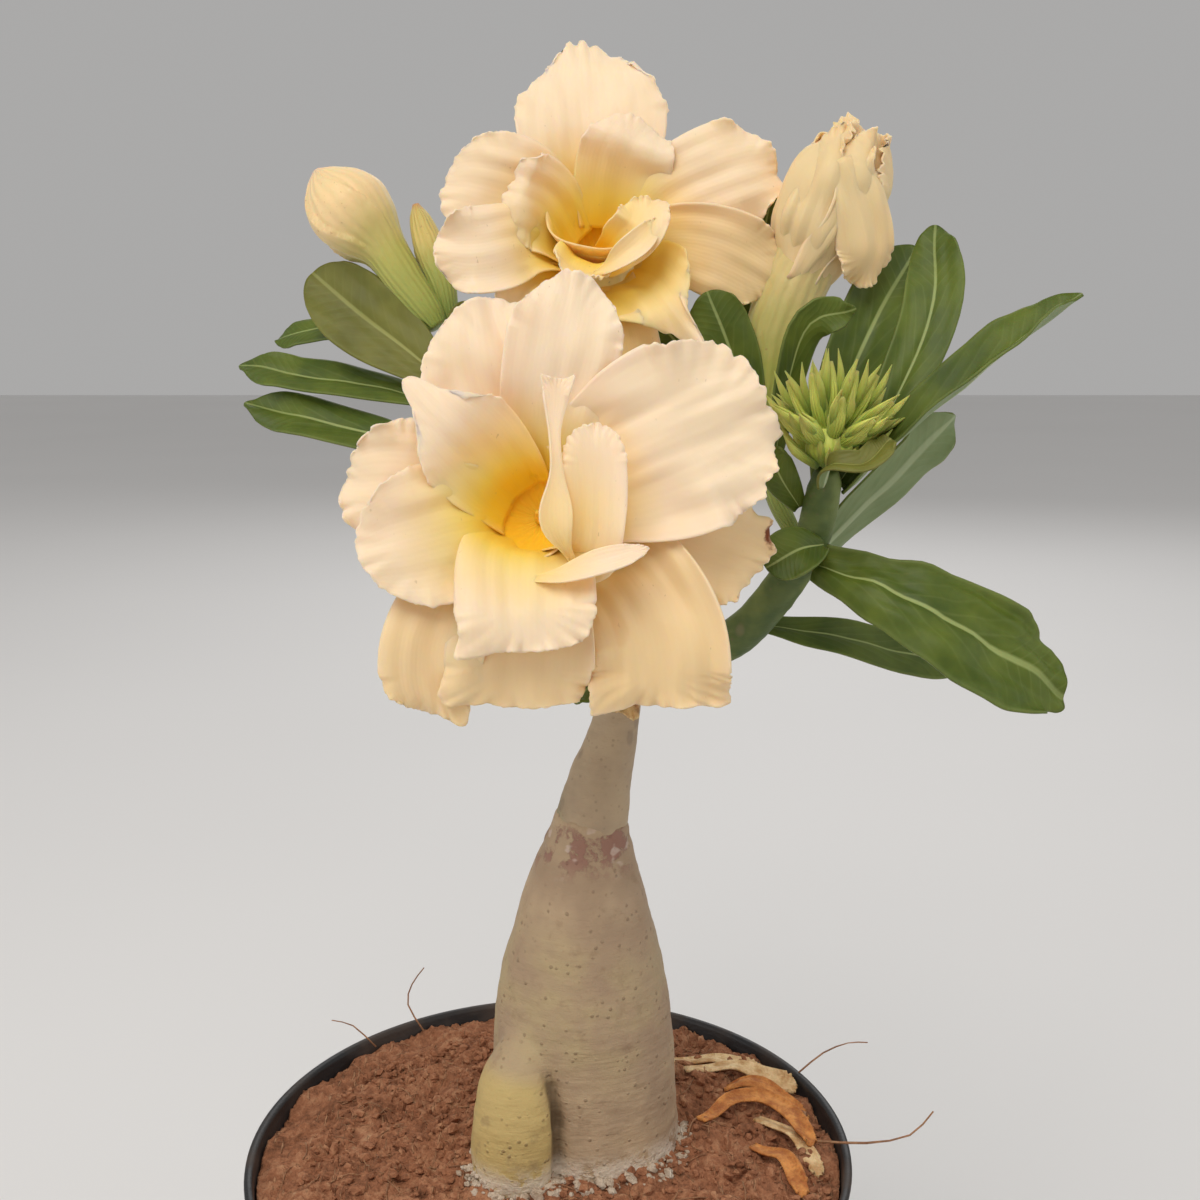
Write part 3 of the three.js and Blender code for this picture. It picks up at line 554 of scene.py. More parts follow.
def sheet_mesh(
    line, half, face, face_end=None, foot=None, cap=None, round_end=0.9, cup=0.0, cup_end=None, fold=0.0,
    wave=0.0, waves=5, phase=0.0, points=(), frill=0.0, crumple=0.0, pleat=0.0, notch=0.0, grid=44,
    seed=0.0, widths=None, rib=0.0, throat=None, scorch=None, curl=0.0, long_grid=None, warm=0.0, gold=26.0,
):
    """A sheet along a centre line, in millimetres.

    Its outline: half is its greatest half width, foot the half width where it starts, cap the length of
    its rounded end, and round_end how round that is. widths gives half widths along it instead. points
    are corners, each a size, an angle round the end and a width. notch roughens the edge.
    Its bends: face and face_end say which way it looks at its foot and its end. cup and cup_end curve it
    across, fold creases its middle, rib sinks the midrib, and curl turns the end back. wave, frill,
    pleat and crumple are ruffles, from broad at the margin to fine over the whole sheet.
    Its paint: gold is how far the throat's colour reaches, the tan value tans it and adds painted shade to
    petals facing down, and scorch is a spot and size.
    """
    foot = 0.4 * half if foot is None else foot
    cap = half if cap is None else cap
    face, face_end = Vector(face), Vector(face_end or face)
    cup_end = cup if cup_end is None else cup_end
    centre_line = Line(line)
    length = centre_line.length
    straight = length - cap
    bm = bmesh.new()
    bm.loops.layers.uv.new("sheet")
    bmesh.ops.create_grid(bm, x_segments=grid, y_segments=long_grid or grid, size=1, calc_uvs=True)
    for paint in SHEET_PAINTS:
        bm.verts.layers.float.new(paint)
    throat_paint, rim_paint, scorch_paint, tan_and_shade_paint = (
        bm.verts.layers.float[paint] for paint in SHEET_PAINTS
    )
    for v in bm.verts:
        a, b = v.co.x, v.co.y
        x = a * half * math.sqrt(1 - round_end * b * b / 2)
        y = straight + cap * b * math.sqrt(1 - round_end * a * a / 2)
        if b < 0:
            x = a * (foot + (half - foot) * math.sin((b + 1) * math.pi / 2))
            y = straight * (b + 1)
        if widths:
            x = a * widths(min(max(y / length, 0), 1))
        edge = max(abs(a), b) ** 4
        rim = math.atan2(x / half, max(y - straight, 0) / cap + 0.001)
        reach = math.hypot(x / half, max(y - straight, 0) / cap)
        ragged = 1 + notch * edge * noise.noise(Vector((rim * 7 + seed, reach, seed)))
        ragged += 0.5 * notch * edge * noise.noise(Vector((rim * 22 + seed, reach, seed)))
        out = Vector((math.sin(rim), math.cos(rim)))
        corner = sum(size * edge * math.exp(-((rim - place) / wide) ** 2) for size, place, wide in points)
        x = x * ragged + corner * out.x
        y = straight + (y - straight) * (ragged if b > 0 else 1) + corner * out.y
        t = min(max(y / length, 0), 1)
        centre, way = centre_line.place(y)
        side = face.lerp(face_end, t).cross(way).normalized()
        normal = way.cross(side)
        bend = cup + (cup_end - cup) * min(1, 1.9 * t)
        turn = bend * x
        lift = (1 - math.cos(turn)) / bend if bend else 0
        step = math.sin(turn) / bend if bend else x
        lift += fold * (math.hypot(x, 0.8) - 0.8)
        lift += wave * edge * math.sin(waves * rim + phase)
        lift += 0.5 * wave * edge * noise.noise(Vector((rim * 4 + seed, 2.3 * reach, seed)))
        lift += frill * edge ** 2 * math.sin(21 * rim + 5 * noise.noise(Vector((rim * 3, seed, 1))))
        gathers = math.sin(rim * 24 + 3 * noise.noise(Vector((rim * 2, seed, 4))))
        lift += pleat * min(reach, 1) ** 3 * t * gathers
        lift += crumple * noise.noise(Vector((x * 0.16, y * 0.12, seed)))
        lift += 0.6 * crumple * noise.noise(Vector((x * 0.4, y * 0.06, seed + 5)))
        lift -= rib * math.exp(-((x / 0.9) ** 2)) * (1 - 0.6 * t)
        lift -= curl * max(0, reach - 0.55) ** 2 * (1 if b > -0.3 else 0)
        place = centre + side * step + normal * lift
        v.co = place
        v[throat_paint] = min((place - throat).length / gold, 1) if throat else 1.0
        v[rim_paint] = edge
        v[tan_and_shade_paint] = warm
        if scorch:
            spot, size = scorch
            v[scorch_paint] = max(0.0, 1 - (place - Vector(spot)).length / size) * min(1, 1.3 * edge)
    bmesh.ops.recalc_face_normals(bm, faces=bm.faces)
    upward = face_end.dot(sum((f.normal for f in bm.faces), Vector()))
    if upward < 0:
        bmesh.ops.reverse_faces(bm, faces=bm.faces)
    return bm


# %% [markdown]
# ## One function for every stem, tube and bud
# A circle is extruded from one section to the next and fitted to each: its place, its two radii, and a
# small swelling that may vary round it, which gives folds and ridges. Two painted values, along and
# round, let the finishes follow the limb.


# %% A limb through its sections
FIRST_CORNER_WAY = Vector((1, 0, 0))


def limb_mesh(bm, sections, sides=40, steps=6, swell=None):
    """Draws a circle through the sections, each a place and one or two radii, and returns its end face."""
    rows = [[*s[:3], s[3], s[4] if len(s) > 4 else s[3]] for s in sections]
    dense, run = smooth_line(rows, steps)
    for paint in ("along", "round", "scorch"):
        if paint not in bm.verts.layers.float:
            bm.verts.layers.float.new(paint)
    along_paint, round_paint = bm.verts.layers.float["along"], bm.verts.layers.float["round"]
    ring = bmesh.ops.create_circle(bm, segments=sides, radius=1)["verts"]
    edges = list({e for v in ring for e in v.link_edges})
    first, fitted = edges, Matrix.Identity(4)
    for k, row in enumerate(dense):
        before, after = Vector(dense[max(k - 1, 0)][:3]), Vector(dense[min(k + 1, len(dense) - 1)][:3])
        way = (after - before).normalized()
        side = (FIRST_CORNER_WAY - way * FIRST_CORNER_WAY.dot(way)).normalized()
        turned = Matrix((side, way.cross(side), way)).transposed().to_4x4()
        size_it = Matrix.Diagonal((max(row[3], 0.05), max(row[4], 0.05), 1, 1))
        fit = Matrix.Translation(row[:3]) @ turned @ size_it
        if k:
            grown = bmesh.ops.extrude_edge_only(bm, edges=edges)["geom"]
            ring = [g for g in grown if isinstance(g, bmesh.types.BMVert)]
            edges = [g for g in grown if isinstance(g, bmesh.types.BMEdge)]
            bmesh.ops.transform(bm, matrix=fitted.inverted(), verts=ring)
        t = run[k] / run[-1]
        for v in ring:
            angle = math.atan2(v.co.y, v.co.x)
            size = swell(angle, t) if swell else 1
            v.co = Vector((math.cos(angle) * size, math.sin(angle) * size, 0))
            v[along_paint] = t
            v[round_paint] = abs(angle) / math.pi
        bmesh.ops.transform(bm, matrix=fit, verts=ring)
        fitted = fit
    bmesh.ops.holes_fill(bm, edges=first, sides=0)
    cap = bmesh.ops.holes_fill(bm, edges=edges, sides=0)["faces"]
    bmesh.ops.recalc_face_normals(bm, faces=bm.faces)
    return cap


def hollow(bm, cap, wall, rings):
    """Insets the end of a limb and draws it down inside as a chain of rings, given as place and radius."""
    inside_paint = bm.verts.layers.float.new("inside")
    centre = cap[0].calc_center_median()
    radius = sum((v.co - centre).length for v in cap[0].verts) / len(cap[0].verts)
    bmesh.ops.inset_individual(bm, faces=cap, thickness=wall)
    radius -= wall
    for place, wanted in rings:
        cap = bmesh.ops.extrude_discrete_faces(bm, faces=cap)["faces"]
        smaller = Matrix.Scale(wanted / radius, 4)
        shrink = Matrix.Translation(place) @ smaller @ Matrix.Translation(-centre)
        bmesh.ops.transform(bm, matrix=shrink, verts=cap[0].verts)
        for v in cap[0].verts:
            v[inside_paint] = 1.0
        centre, radius = Vector(place), wanted


def gather(bm, part):
    """Adds a small finished mesh to a big one. Working on each alone keeps every step quick."""
    kept = bpy.data.meshes.new("part")
    part.to_mesh(kept)
    part.free()
    bm.from_mesh(kept)
    bpy.data.meshes.remove(kept)


def opened(piece):
    """A settled piece's mesh, in millimetres again, for more work."""
    bm = bmesh.new()
    bm.from_mesh(piece.data)
    bmesh.ops.scale(bm, vec=(1 / MM,) * 3, verts=bm.verts)
    return bm


def closed(bm, piece):
    """Puts an opened mesh back, in metres."""
    bmesh.ops.scale(bm, vec=(MM,) * 3, verts=bm.verts)
    bm.to_mesh(piece.data)
    bm.free()


def sculpt(bm, amount, size, seed=0.0):
    """Pushes points in and out a little, as a thumb would."""
    moves = []
    for v in bm.verts:
        p = v.co / size
        push = noise.noise(p + Vector((seed, 0, 0))) + 0.4 * noise.noise(p * 2.7 + Vector((0, seed, 3)))
        moves.append(v.normal * push * amount)
    for v, move in zip(bm.verts, moves):
        v.co += move


def remeshed(piece, voxel, smoothing):
    """Melts a piece's crossing limbs into one skin, as living tissue grows together."""
    melt = piece.modifiers.new("melt", "REMESH")
    melt.mode = "VOXEL"
    melt.voxel_size = voxel * MM
    melt.use_smooth_shade = True
    relax = piece.modifiers.new("relax", "SMOOTH")
    relax.factor = 0.6
    relax.iterations = smoothing
    graph = bpy.context.evaluated_depsgraph_get()
    mesh = bpy.data.meshes.new_from_object(piece.evaluated_get(graph))
    piece.modifiers.clear()
    old = piece.data
    piece.data = mesh
    bpy.data.meshes.remove(old)
    mesh.polygons.foreach_set("use_smooth", [True] * len(mesh.polygons))
    return piece


# %% [markdown]
# ## The swollen stem and the grafted top
# The rootstock is a bottle shape with a second root bulging out at the front left. Two limbs crossing
# would show a hard seam, so they are melted together by a voxel remesh and relaxed, then sculpted with
# low lumps. The grafted top and its two branches are melted in the same way at their forks.

# %% Rootstock
# Each section is a place and its two radii, in millimetres.
TRUNK = [
    (8, 1, 74, 6, 6), (8, 1, 90, 13, 12), (8, 0, 104, 18, 16.4), (7.6, 0, 117, 20, 17.4),
    (7.4, 0, 130, 19.5, 17.2), (7.2, 0, 148, 18.5, 16.6), (7.4, 0, 160, 16.3, 15),
    (7.7, 0, 171, 13.3, 12.8), (8.2, 0, 180, 10.6, 10.4), (8.9, 0, 187, 8.2, 8), (9.4, 0, 190, 7.7, 7.6),
]
SIDE_ROOT = [
    (-4, -8, 92, 5, 5), (-5.4, -10.5, 106, 8.6, 8), (-6.2, -12.6, 119, 9.7, 8.8), (-6.2, -13, 130, 9, 8.6),
    (-5.4, -11.4, 138, 7.8, 7.4), (-4.2, -8.4, 144, 4.8, 4.8), (-3.4, -6.4, 147, 1.6, 1.6),
]
bm = bmesh.new()
limb_mesh(bm, TRUNK, sides=64, swell=lambda angle, t: 1 + 0.012 * math.cos(5 * angle + 2 * t))
limb_mesh(bm, SIDE_ROOT, sides=48)
stump = settle("swollen_stem", bm, [BARK], ["caudex"])
remeshed(stump, 0.8, 5)


def depth_in(sections, place):
    """Minus inside a limb, zero on its skin and plus outside it, in parts of its radius."""
    for low, high in zip(sections, sections[1:]):
        if low[2] <= place.z <= high[2]:
            t = (place.z - low[2]) / (high[2] - low[2])
            x, y, _, rx, ry = (p + (q - p) * t for p, q in zip(low, high))
            return math.hypot((place.x - x) / rx, (place.y - y) / ry) - 1
    return 1.0


bm = opened(stump)
bm.verts.layers.float.new("groove")
bm.verts.layers.float.new("side_root")
groove_and_shade_paint, root_paint = bm.verts.layers.float["groove"], bm.verts.layers.float["side_root"]
bm.normal_update()
for v in bm.verts:
    from_trunk, from_root = depth_in(TRUNK, v.co), depth_in(SIDE_ROOT, v.co)
    nearer = min(max((from_trunk - from_root) * 3 + 0.5, 0), 1)
    v[root_paint] = nearer * min(max((SIDE_ROOT[-1][2] - v.co.z) / 9, 0), 1)
    near = math.exp(-((from_trunk / 0.08) ** 2) - (from_root / 0.16) ** 2)
    # The groove value sinks the skin along the seam, and the bark finish darkens it there as painted shade.
    v[groove_and_shade_paint] = near * min(max((145 - v.co.z) / 8, 0), 1)
for v in bm.verts:
    v.co -= v.normal * 2.2 * v[groove_and_shade_paint]
sculpt(bm, 0.4, 9.0, 1.0)
sculpt(bm, 0.12, 2.6, 4.0)
for v in bm.verts:
    collar, ring = (v.co.z - GRAFT_Z - 0.5) / 1.5, (v.co.z - GRAFT_Z + 4.5) / 1.2
    scar = math.exp(-(collar ** 2)) + 0.7 * math.exp(-(ring ** 2))
    v.co += v.normal * scar * 0.45 * (0.3 + noise.noise(v.co * 0.25))
closed(bm, stump)
print("swollen stem:", len(stump.data.vertices), "points")

# %% Grafted top with its two branches
SCION = [
    (8.9, 0, 184, 7.0, 7.0), (9.3, 0, 189, 7.5, 7.4), (11, -0.3, 198, 6.5, 6.4),
    (13.2, -0.6, 206, 5.3, 5.3), (14.6, -1, 214, 4.6, 4.6), (15.4, -0.8, 224, 4.6, 4.6),
    (15.4, 1, 236, 4.5, 4.5), (13.6, 5, 248, 3.8, 3.8), (12.2, 8.4, 257, 3, 3), (12, 9.6, 260, 2, 2),
]
LEFT_BRANCH = [
    (13, 1.5, 235, 3.2), (4, 11, 251, 3.8), (-6, 19, 264, 3.6), (-15, 26, 274, 3.4), (-22, 32, 283, 3.1),
    (-23.6, 34, 286, 2.2),
]
RIGHT_BRANCH = [
    (15.5, -1, 220, 3.4), (29, -3.5, 225, 3.9), (38, -6, 229.5, 3.9), (45.7, -10, 239.5, 3.7),
    (51, -13, 250, 3.5), (52.8, -15.5, 260, 3.2), (53, -17, 264, 2.2),
]
bm = bmesh.new()
limb_mesh(bm, SCION, sides=40)
limb_mesh(bm, LEFT_BRANCH, sides=32)
limb_mesh(bm, RIGHT_BRANCH, sides=32)
top = settle("grafted_top", bm, [GREEN_BARK], ["scion_stem", "left_branch", "right_branch"])
remeshed(top, 0.6, 8)
bm = opened(top)
sculpt(bm, 0.22, 4.0, 2.0)
closed(bm, top)
print("grafted top:", len(top.data.vertices), "points")

# %% [markdown]
# ## The pot
# A nursery pot is moulded in one piece: a tapered wall, a deep rim that stiffens it, and a flat floor
# with holes. Its outline is drawn as a chain of points and spun round, and the holes are cut last.

# %% Spin the pot and cut its drain holes
pot_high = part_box("pot")[1]
RIM_R, POT_HEIGHT, BASE_R = round(pot_high[0] / MM), round(pot_high[2] / MM), 43
HOLES, HOLE_RING, HOLE_R = 8, 30, 4
OUTLINE = [
    (0, 0), (BASE_R - 2, 0), (BASE_R - 0.7, 0.5), (BASE_R, 2), (RIM_R - 5.6, 101.4), (RIM_R - 5.2, 102.4),
    (RIM_R - 1.6, 103), (RIM_R - 1.2, 103.6), (RIM_R - 0.4, 113.6), (RIM_R, 114.2), (RIM_R - 0.1, 114.8),
    (RIM_R - 0.7, POT_HEIGHT), (RIM_R - 1.5, 114.8), (RIM_R - 1.9, 114), (RIM_R - 2.6, 104.4),
    (RIM_R - 6.6, 103), (BASE_R - 1.6, 3), (BASE_R - 3, 1.8), (0, 1.8),
]
bm = bmesh.new()
corners = [bm.verts.new((r, 0, z)) for r, z in OUTLINE]
outline = [bm.edges.new(pair) for pair in zip(corners, corners[1:])]
bmesh.ops.spin(
    bm, geom=corners + outline, cent=(0, 0, 0), axis=(0, 0, 1), angle=2 * math.pi, steps=144,
    use_merge=True,
)
bmesh.ops.remove_doubles(bm, verts=bm.verts, dist=0.01)
bmesh.ops.recalc_face_normals(bm, faces=bm.faces)
pot = settle("nursery_pot", bm, [POT], ["pot"])
bm = bmesh.new()
for k in range(HOLES):
    spot = Matrix.Rotation((k + 0.5) * 2 * math.pi / HOLES, 4, "Z") @ Matrix.Translation((HOLE_RING, 0, 1))
    bmesh.ops.create_cone(
        bm, cap_ends=True, segments=32, radius1=HOLE_R, radius2=HOLE_R, depth=6, matrix=spot,
    )
bmesh.ops.scale(bm, vec=(MM,) * 3, verts=bm.verts)
cutter_mesh = bpy.data.meshes.new("drain_cutters")
bm.to_mesh(cutter_mesh)
bm.free()
cutter = bpy.data.objects.new("drain_cutters", cutter_mesh)
bpy.context.scene.collection.objects.link(cutter)
drill = pot.modifiers.new("drain_holes", "BOOLEAN")
drill.object = cutter
drilled = bpy.data.meshes.new_from_object(pot.evaluated_get(bpy.context.evaluated_depsgraph_get()))
pot.modifiers.clear()
pot.data = drilled
bpy.data.objects.remove(cutter)
print("pot:", len(pot.data.polygons), "faces,", RIM_R * 2, "mm wide and", POT_HEIGHT, "mm high")

# %% [markdown]
# ## The soil
# The top is a dense grid wrapped to a disc and pushed into lumps and crumbs, then its edge is drawn
# down inside the pot. Loose crumbs and coir fibres on top break the surface, because a bumped sheet
# alone looks like cloth.

# %% Heap of coir mix
SOIL_EDGE_Z, SOIL_RISE, SOIL_R, HEAP_R = 111.5, 5.5, 62.5, 64


def soil_height(x, y):
    rise = SOIL_RISE * math.cos(min(math.hypot(x, y) / HEAP_R, 1) * math.pi / 2)
    lumps = 0.9 * math.sin(x * 0.21 + 1) * math.cos(y * 0.24) + 0.5 * math.sin(x * 0.47 - y * 0.38)
    p = Vector((x, y, 0))
    fine = 1.6 * noise.noise(p * 0.16) + 1.4 * abs(noise.noise(p * 0.4)) + 0.7 * noise.noise(p * 1.1)
    return SOIL_EDGE_Z + rise + lumps + fine + 0.35 * noise.noise(p * 2.4) - 0.4


bm = bmesh.new()
bmesh.ops.create_grid(bm, x_segments=190, y_segments=190, size=1)
for v in bm.verts:
    a, b = v.co.x, v.co.y
    x, y = SOIL_R * a * math.sqrt(1 - b * b / 2), SOIL_R * b * math.sqrt(1 - a * a / 2)
    v.co = Vector((x, y, soil_height(x, y)))
edge = [e for e in bm.edges if e.is_boundary]
for radius, height in [(RIM_R - 3, 104.8), (RIM_R - 7.4, 103), (BASE_R - 2.4, 3.6), (BASE_R - 4, 2.2)]:
    grown = bmesh.ops.extrude_edge_only(bm, edges=edge)["geom"]
    edge = [g for g in grown if isinstance(g, bmesh.types.BMEdge)]
    for v in (g for g in grown if isinstance(g, bmesh.types.BMVert)):
        out = Vector((v.co.x, v.co.y)).normalized() * radius
        v.co = Vector((out.x, out.y, height))
bmesh.ops.holes_fill(bm, edges=edge, sides=0)
bmesh.ops.recalc_face_normals(bm, faces=bm.faces)
settle("coir_mix", bm, [SOIL], ["soil"])
print("soil: edge at", SOIL_EDGE_Z, "mm and a rise of", SOIL_RISE, "mm")

# %% [markdown]
# ## Loose crumbs and fibres
# Coir is chopped coconut husk, so crumbs and short threads lie all over it, and pale chalky grains
# gather at the stem's foot. A particle system could scatter them, but a seeded loop puts the same
# crumb in the same place each time.

# %% Crumbs and fibres on the soil
luck = random.Random(7)
COIR_CRUMBS, CHALK_CRUMBS, FIBRES = 2400, 520, 330


def on_soil(inner=21, outer=61):
    angle = luck.uniform(0, 2 * math.pi)
    radius = math.sqrt(luck.uniform(inner ** 2, outer ** 2))
    return Vector((4 + radius * math.cos(angle), radius * math.sin(angle)))


def drop_crumb(bm, x, y, size, turn, shape):
    crumb = bmesh.new()
    rest = Matrix.Translation((x, y, soil_height(x, y) + size * 0.2))
    bmesh.ops.create_icosphere(crumb, subdivisions=1, radius=1, matrix=rest @ turn @ shape)
    gather(bm, crumb)


bm = bmesh.new()
for _ in range(COIR_CRUMBS):
    spot = on_soil(15, 57)
    size = luck.choice([0.35, 0.5, 0.7, 0.9, 1.3])
    turn = Matrix.Rotation(luck.uniform(0, 6.28), 4, Vector((luck.random(), luck.random(), 1)))
    shape = Matrix.Diagonal((size * luck.uniform(0.8, 2.2), size, size * luck.uniform(0.5, 0.9), 1))
    drop_crumb(bm, spot.x, spot.y, size, turn, shape)
settle("coir_crumbs", bm, [SOIL], smooth=False)
bm = bmesh.new()
for _ in range(CHALK_CRUMBS):
    angle, away = luck.uniform(0, 2 * math.pi), luck.uniform(0.3, 1) ** 2 * 4
    middle, wide = ((7.6, 0), 19) if luck.random() < 0.6 else ((-6, -12.6), 8.8)
    x = middle[0] + math.cos(angle) * (wide + away)
    y = middle[1] + math.sin(angle) * (wide * 0.92 + away)
    size = luck.choice([0.4, 0.6, 0.9, 1.2])
    shape = Matrix.Diagonal((size * luck.uniform(0.8, 1.6), size, size * 0.7, 1))
    drop_crumb(bm, x, y, size, Matrix.Rotation(angle * 3, 4, (0.3, 0.2, 1)), shape)
settle("chalky_crumbs", bm, [CRUST], smooth=False)
print("crumbs:", COIR_CRUMBS, "of coir and", CHALK_CRUMBS, "of chalk")


def fibre(bm, points, radius=0.12):
    thread = bmesh.new()
    sections = [(*p, radius * (1 - 0.5 * k / len(points))) for k, p in enumerate(points)]
    limb_mesh(thread, sections, sides=4, steps=2)
    gather(bm, thread)


bm = bmesh.new()
for _ in range(FIBRES):
    spot = on_soil(17, 60)
    heading, long = luck.uniform(0, 6.28), luck.uniform(3, 13)
    points = []
    for k in range(4):
        heading += luck.uniform(-0.5, 0.5)
        spot = spot + Vector((math.cos(heading), math.sin(heading))) * long / 4
        if spot.length < 61.5:
            points.append((spot.x, spot.y, soil_height(spot.x, spot.y) + luck.uniform(0.1, 0.9)))
    if len(points) > 2:
        fibre(bm, points, luck.choice([0.09, 0.13, 0.18]))
fibre(bm, [(58, -2, 116), (68, -5, 117.5), (77, -6, 120), (82, -5, 125)], 0.3)
fibre(bm, [(58, 28, 115), (64, 30, 119), (70, 31, 121), (75, 33, 120)], 0.22)
fibre(bm, [(-33, 46, 116), (-37, 48, 122), (-36, 49, 127), (-33, 50, 131)], 0.22)
fibre(bm, [(-44, 40, 115), (-50, 43, 119), (-55, 42, 121)], 0.2)
fibre(bm, [(20, 56, 114), (24, 60, 118), (23, 62, 122)], 0.2)
settle("coir_fibres", bm, [FIBRE])

# %% [markdown]
# ## Dry husks
# A few dry strips of husk lie on the mix, to the right of the stem. Each is a narrow
# sheet that is raised off the soil in its middle. Curved strips cast small shadows, which flat
# cut-outs would not.

# %% Husk strips
HUSKS = {
    "husk_back": ([(31, 27, 2.4), (44, 29, 4.6), (57, 24, 2.6)], 2.6, HUSK_PALE, ["husk_back"]),
    "husk_front": (
        [(33, 3, 1.6), (42, 12, 4.4), (51, 10, 4.2), (57, -2, 2.2)], 2.2, HUSK_ORANGE, ["husk_front"],
    ),
    "husk_middle": ([(40, 22, 1.6), (49, 21, 3.2), (58, 12, 1.8)], 2.2, HUSK_ORANGE, []),
    "husk_long": ([(27, 33, 1.8), (38, 35, 3), (50, 33, 2.2)], 2.4, HUSK_PALE, []),
    "husk_short": ([(44, -2, 1.2), (50, -8, 2.6), (53, -18, 1.2)], 1.8, HUSK_ORANGE, []),
    "husk_curl": ([(46, 9, 2), (53, 2, 4), (58, -8, 2)], 1.9, HUSK_PALE, []),
}
for name, (line, half, finish, nodes) in HUSKS.items():
    raised = [(x, y, soil_height(x, y) + up - 0.6) for x, y, up in line]
    bm = sheet_mesh(
        raised, half, (0, 0, 1), foot=1.2, cap=4, cup=0.2, crumple=1.4, wave=0.5, notch=0.2, grid=14,
        long_grid=30, seed=len(name),
    )
    thicken(settle(name, bm, [finish], nodes), HUSK_THICKNESS)
print("husks:", len(HUSKS))

# %% [markdown]
# ## Double flowers
# Each flower has a funnel-shaped tube, five or more outer petals that flare flat, and inner petals that
# stand up round the throat. A flower has its own directions: right, up and out towards the viewer, and
# every petal is drawn in those by its tip and width. The names of the inner petals begin with inner.

# %% Directions of the two flowers
FRONT = {
    "at": (-1.3, -35, 259.7), "right": (1, 0.05, 0), "up": (0, 0.2, 1), "out": (0.03, -1, 0.14),
    "lean": (0.2, -0.3),
}
BACK = {
    "at": (10.5, 10, 309.4), "right": (1, 0, 0), "up": (0, 0.5, 1), "out": (0, -1, 0.1),
    "lean": (0.05, -0.6),
}
WHORLS = {
    "outer": {
        "foot": (7.4, -6), "flare": (14.5, 0.4), "lift": 2.4, "spread": 0.52, "cup": 0.05, "round_end": 1.2,
    },
    "inner": {
        "foot": (5.8, -8), "flare": (10.8, 0.8), "lift": 3.6, "spread": 0.72, "cup": 0.13, "round_end": 1.1,
    },
}


def turn_into(flower, way):
    return sum((Vector(flower[k]) * part for k, part in zip(("right", "up", "out"), way)), Vector())


def spot_in(flower, spot):
    """A place given as right, up and out from the throat. Deeper places follow the tube's lean."""
    deep = max(0, 1.5 - spot[2])
    moved = (spot[0] + flower["lean"][0] * deep, spot[1] + flower["lean"][1] * deep, spot[2])
    return Vector(flower["at"]) + turn_into(flower, moved)


def petal(flower, name, nodes, tip, half, line=None, scorch=None, under=0.0, **shape):
    """One petal. under pushes all but its foot back, so that its neighbour lies clear on top of it."""
    reach = math.hypot(tip[0], tip[1])
    way = (tip[0] / reach, tip[1] / reach)
    kind = WHORLS["inner" if "inner" in name else "outer"]
    middle = (kind["flare"][0] + reach) / 2
    points = line or [
        (way[0] * kind["foot"][0], way[1] * kind["foot"][0], kind["foot"][1]),
        (way[0] * kind["flare"][0], way[1] * kind["flare"][0], kind["flare"][1]),
        (way[0] * middle, way[1] * middle, (kind["flare"][1] + tip[2]) / 2 + kind["lift"]),
        tip,
    ]
    points = [points[0], *((x, y, z - under) for x, y, z in points[1:])]
    settings = {
        "foot": kind["spread"] * half, "cup": kind["cup"], "cup_end": 0.012, "round_end": kind["round_end"],
        "wave": 0.9, "frill": 0.4, "notch": 0.04, "crumple": 0.9, "pleat": 0.12, "curl": 1.5,
        "face": turn_into(flower, (-way[0], -way[1], 0.5)), "face_end": turn_into(flower, (0, 0, 1)),
        "throat": spot_in(flower, (-1.5, 0, -8)), "seed": len(made) * 1.7,
        "scorch": scorch and (spot_in(flower, scorch[0]), scorch[1]),
    }
    settings.update(shape)
    bm = sheet_mesh([spot_in(flower, p) for p in points], half, **settings)
    thicken(settle(name, bm, [PETAL], nodes), PETAL_THICKNESS)


def grow_petals(flower, side, petals):
    """All petals of one flower. A petal replaces the CAD node of the same name, if there is one."""
    for name, shape in petals.items():
        node = f"{side}_petal_{name}"
        petal(flower, f"{side}_{name}", [node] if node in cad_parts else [], **shape)
    print(side, "flower:", len(petals), "petals")


# %% Petals of the front flower
def fishtail(t):
    """Half widths of the folded petal: a swelling low down, and an end that spreads like a fish's tail."""
    swelling = 2.3 * math.exp(-(((t - 0.3) / 0.16) ** 2))
    return 0.4 + swelling + 0.6 * t + 9 * max(0, t - 0.72) ** 1.2


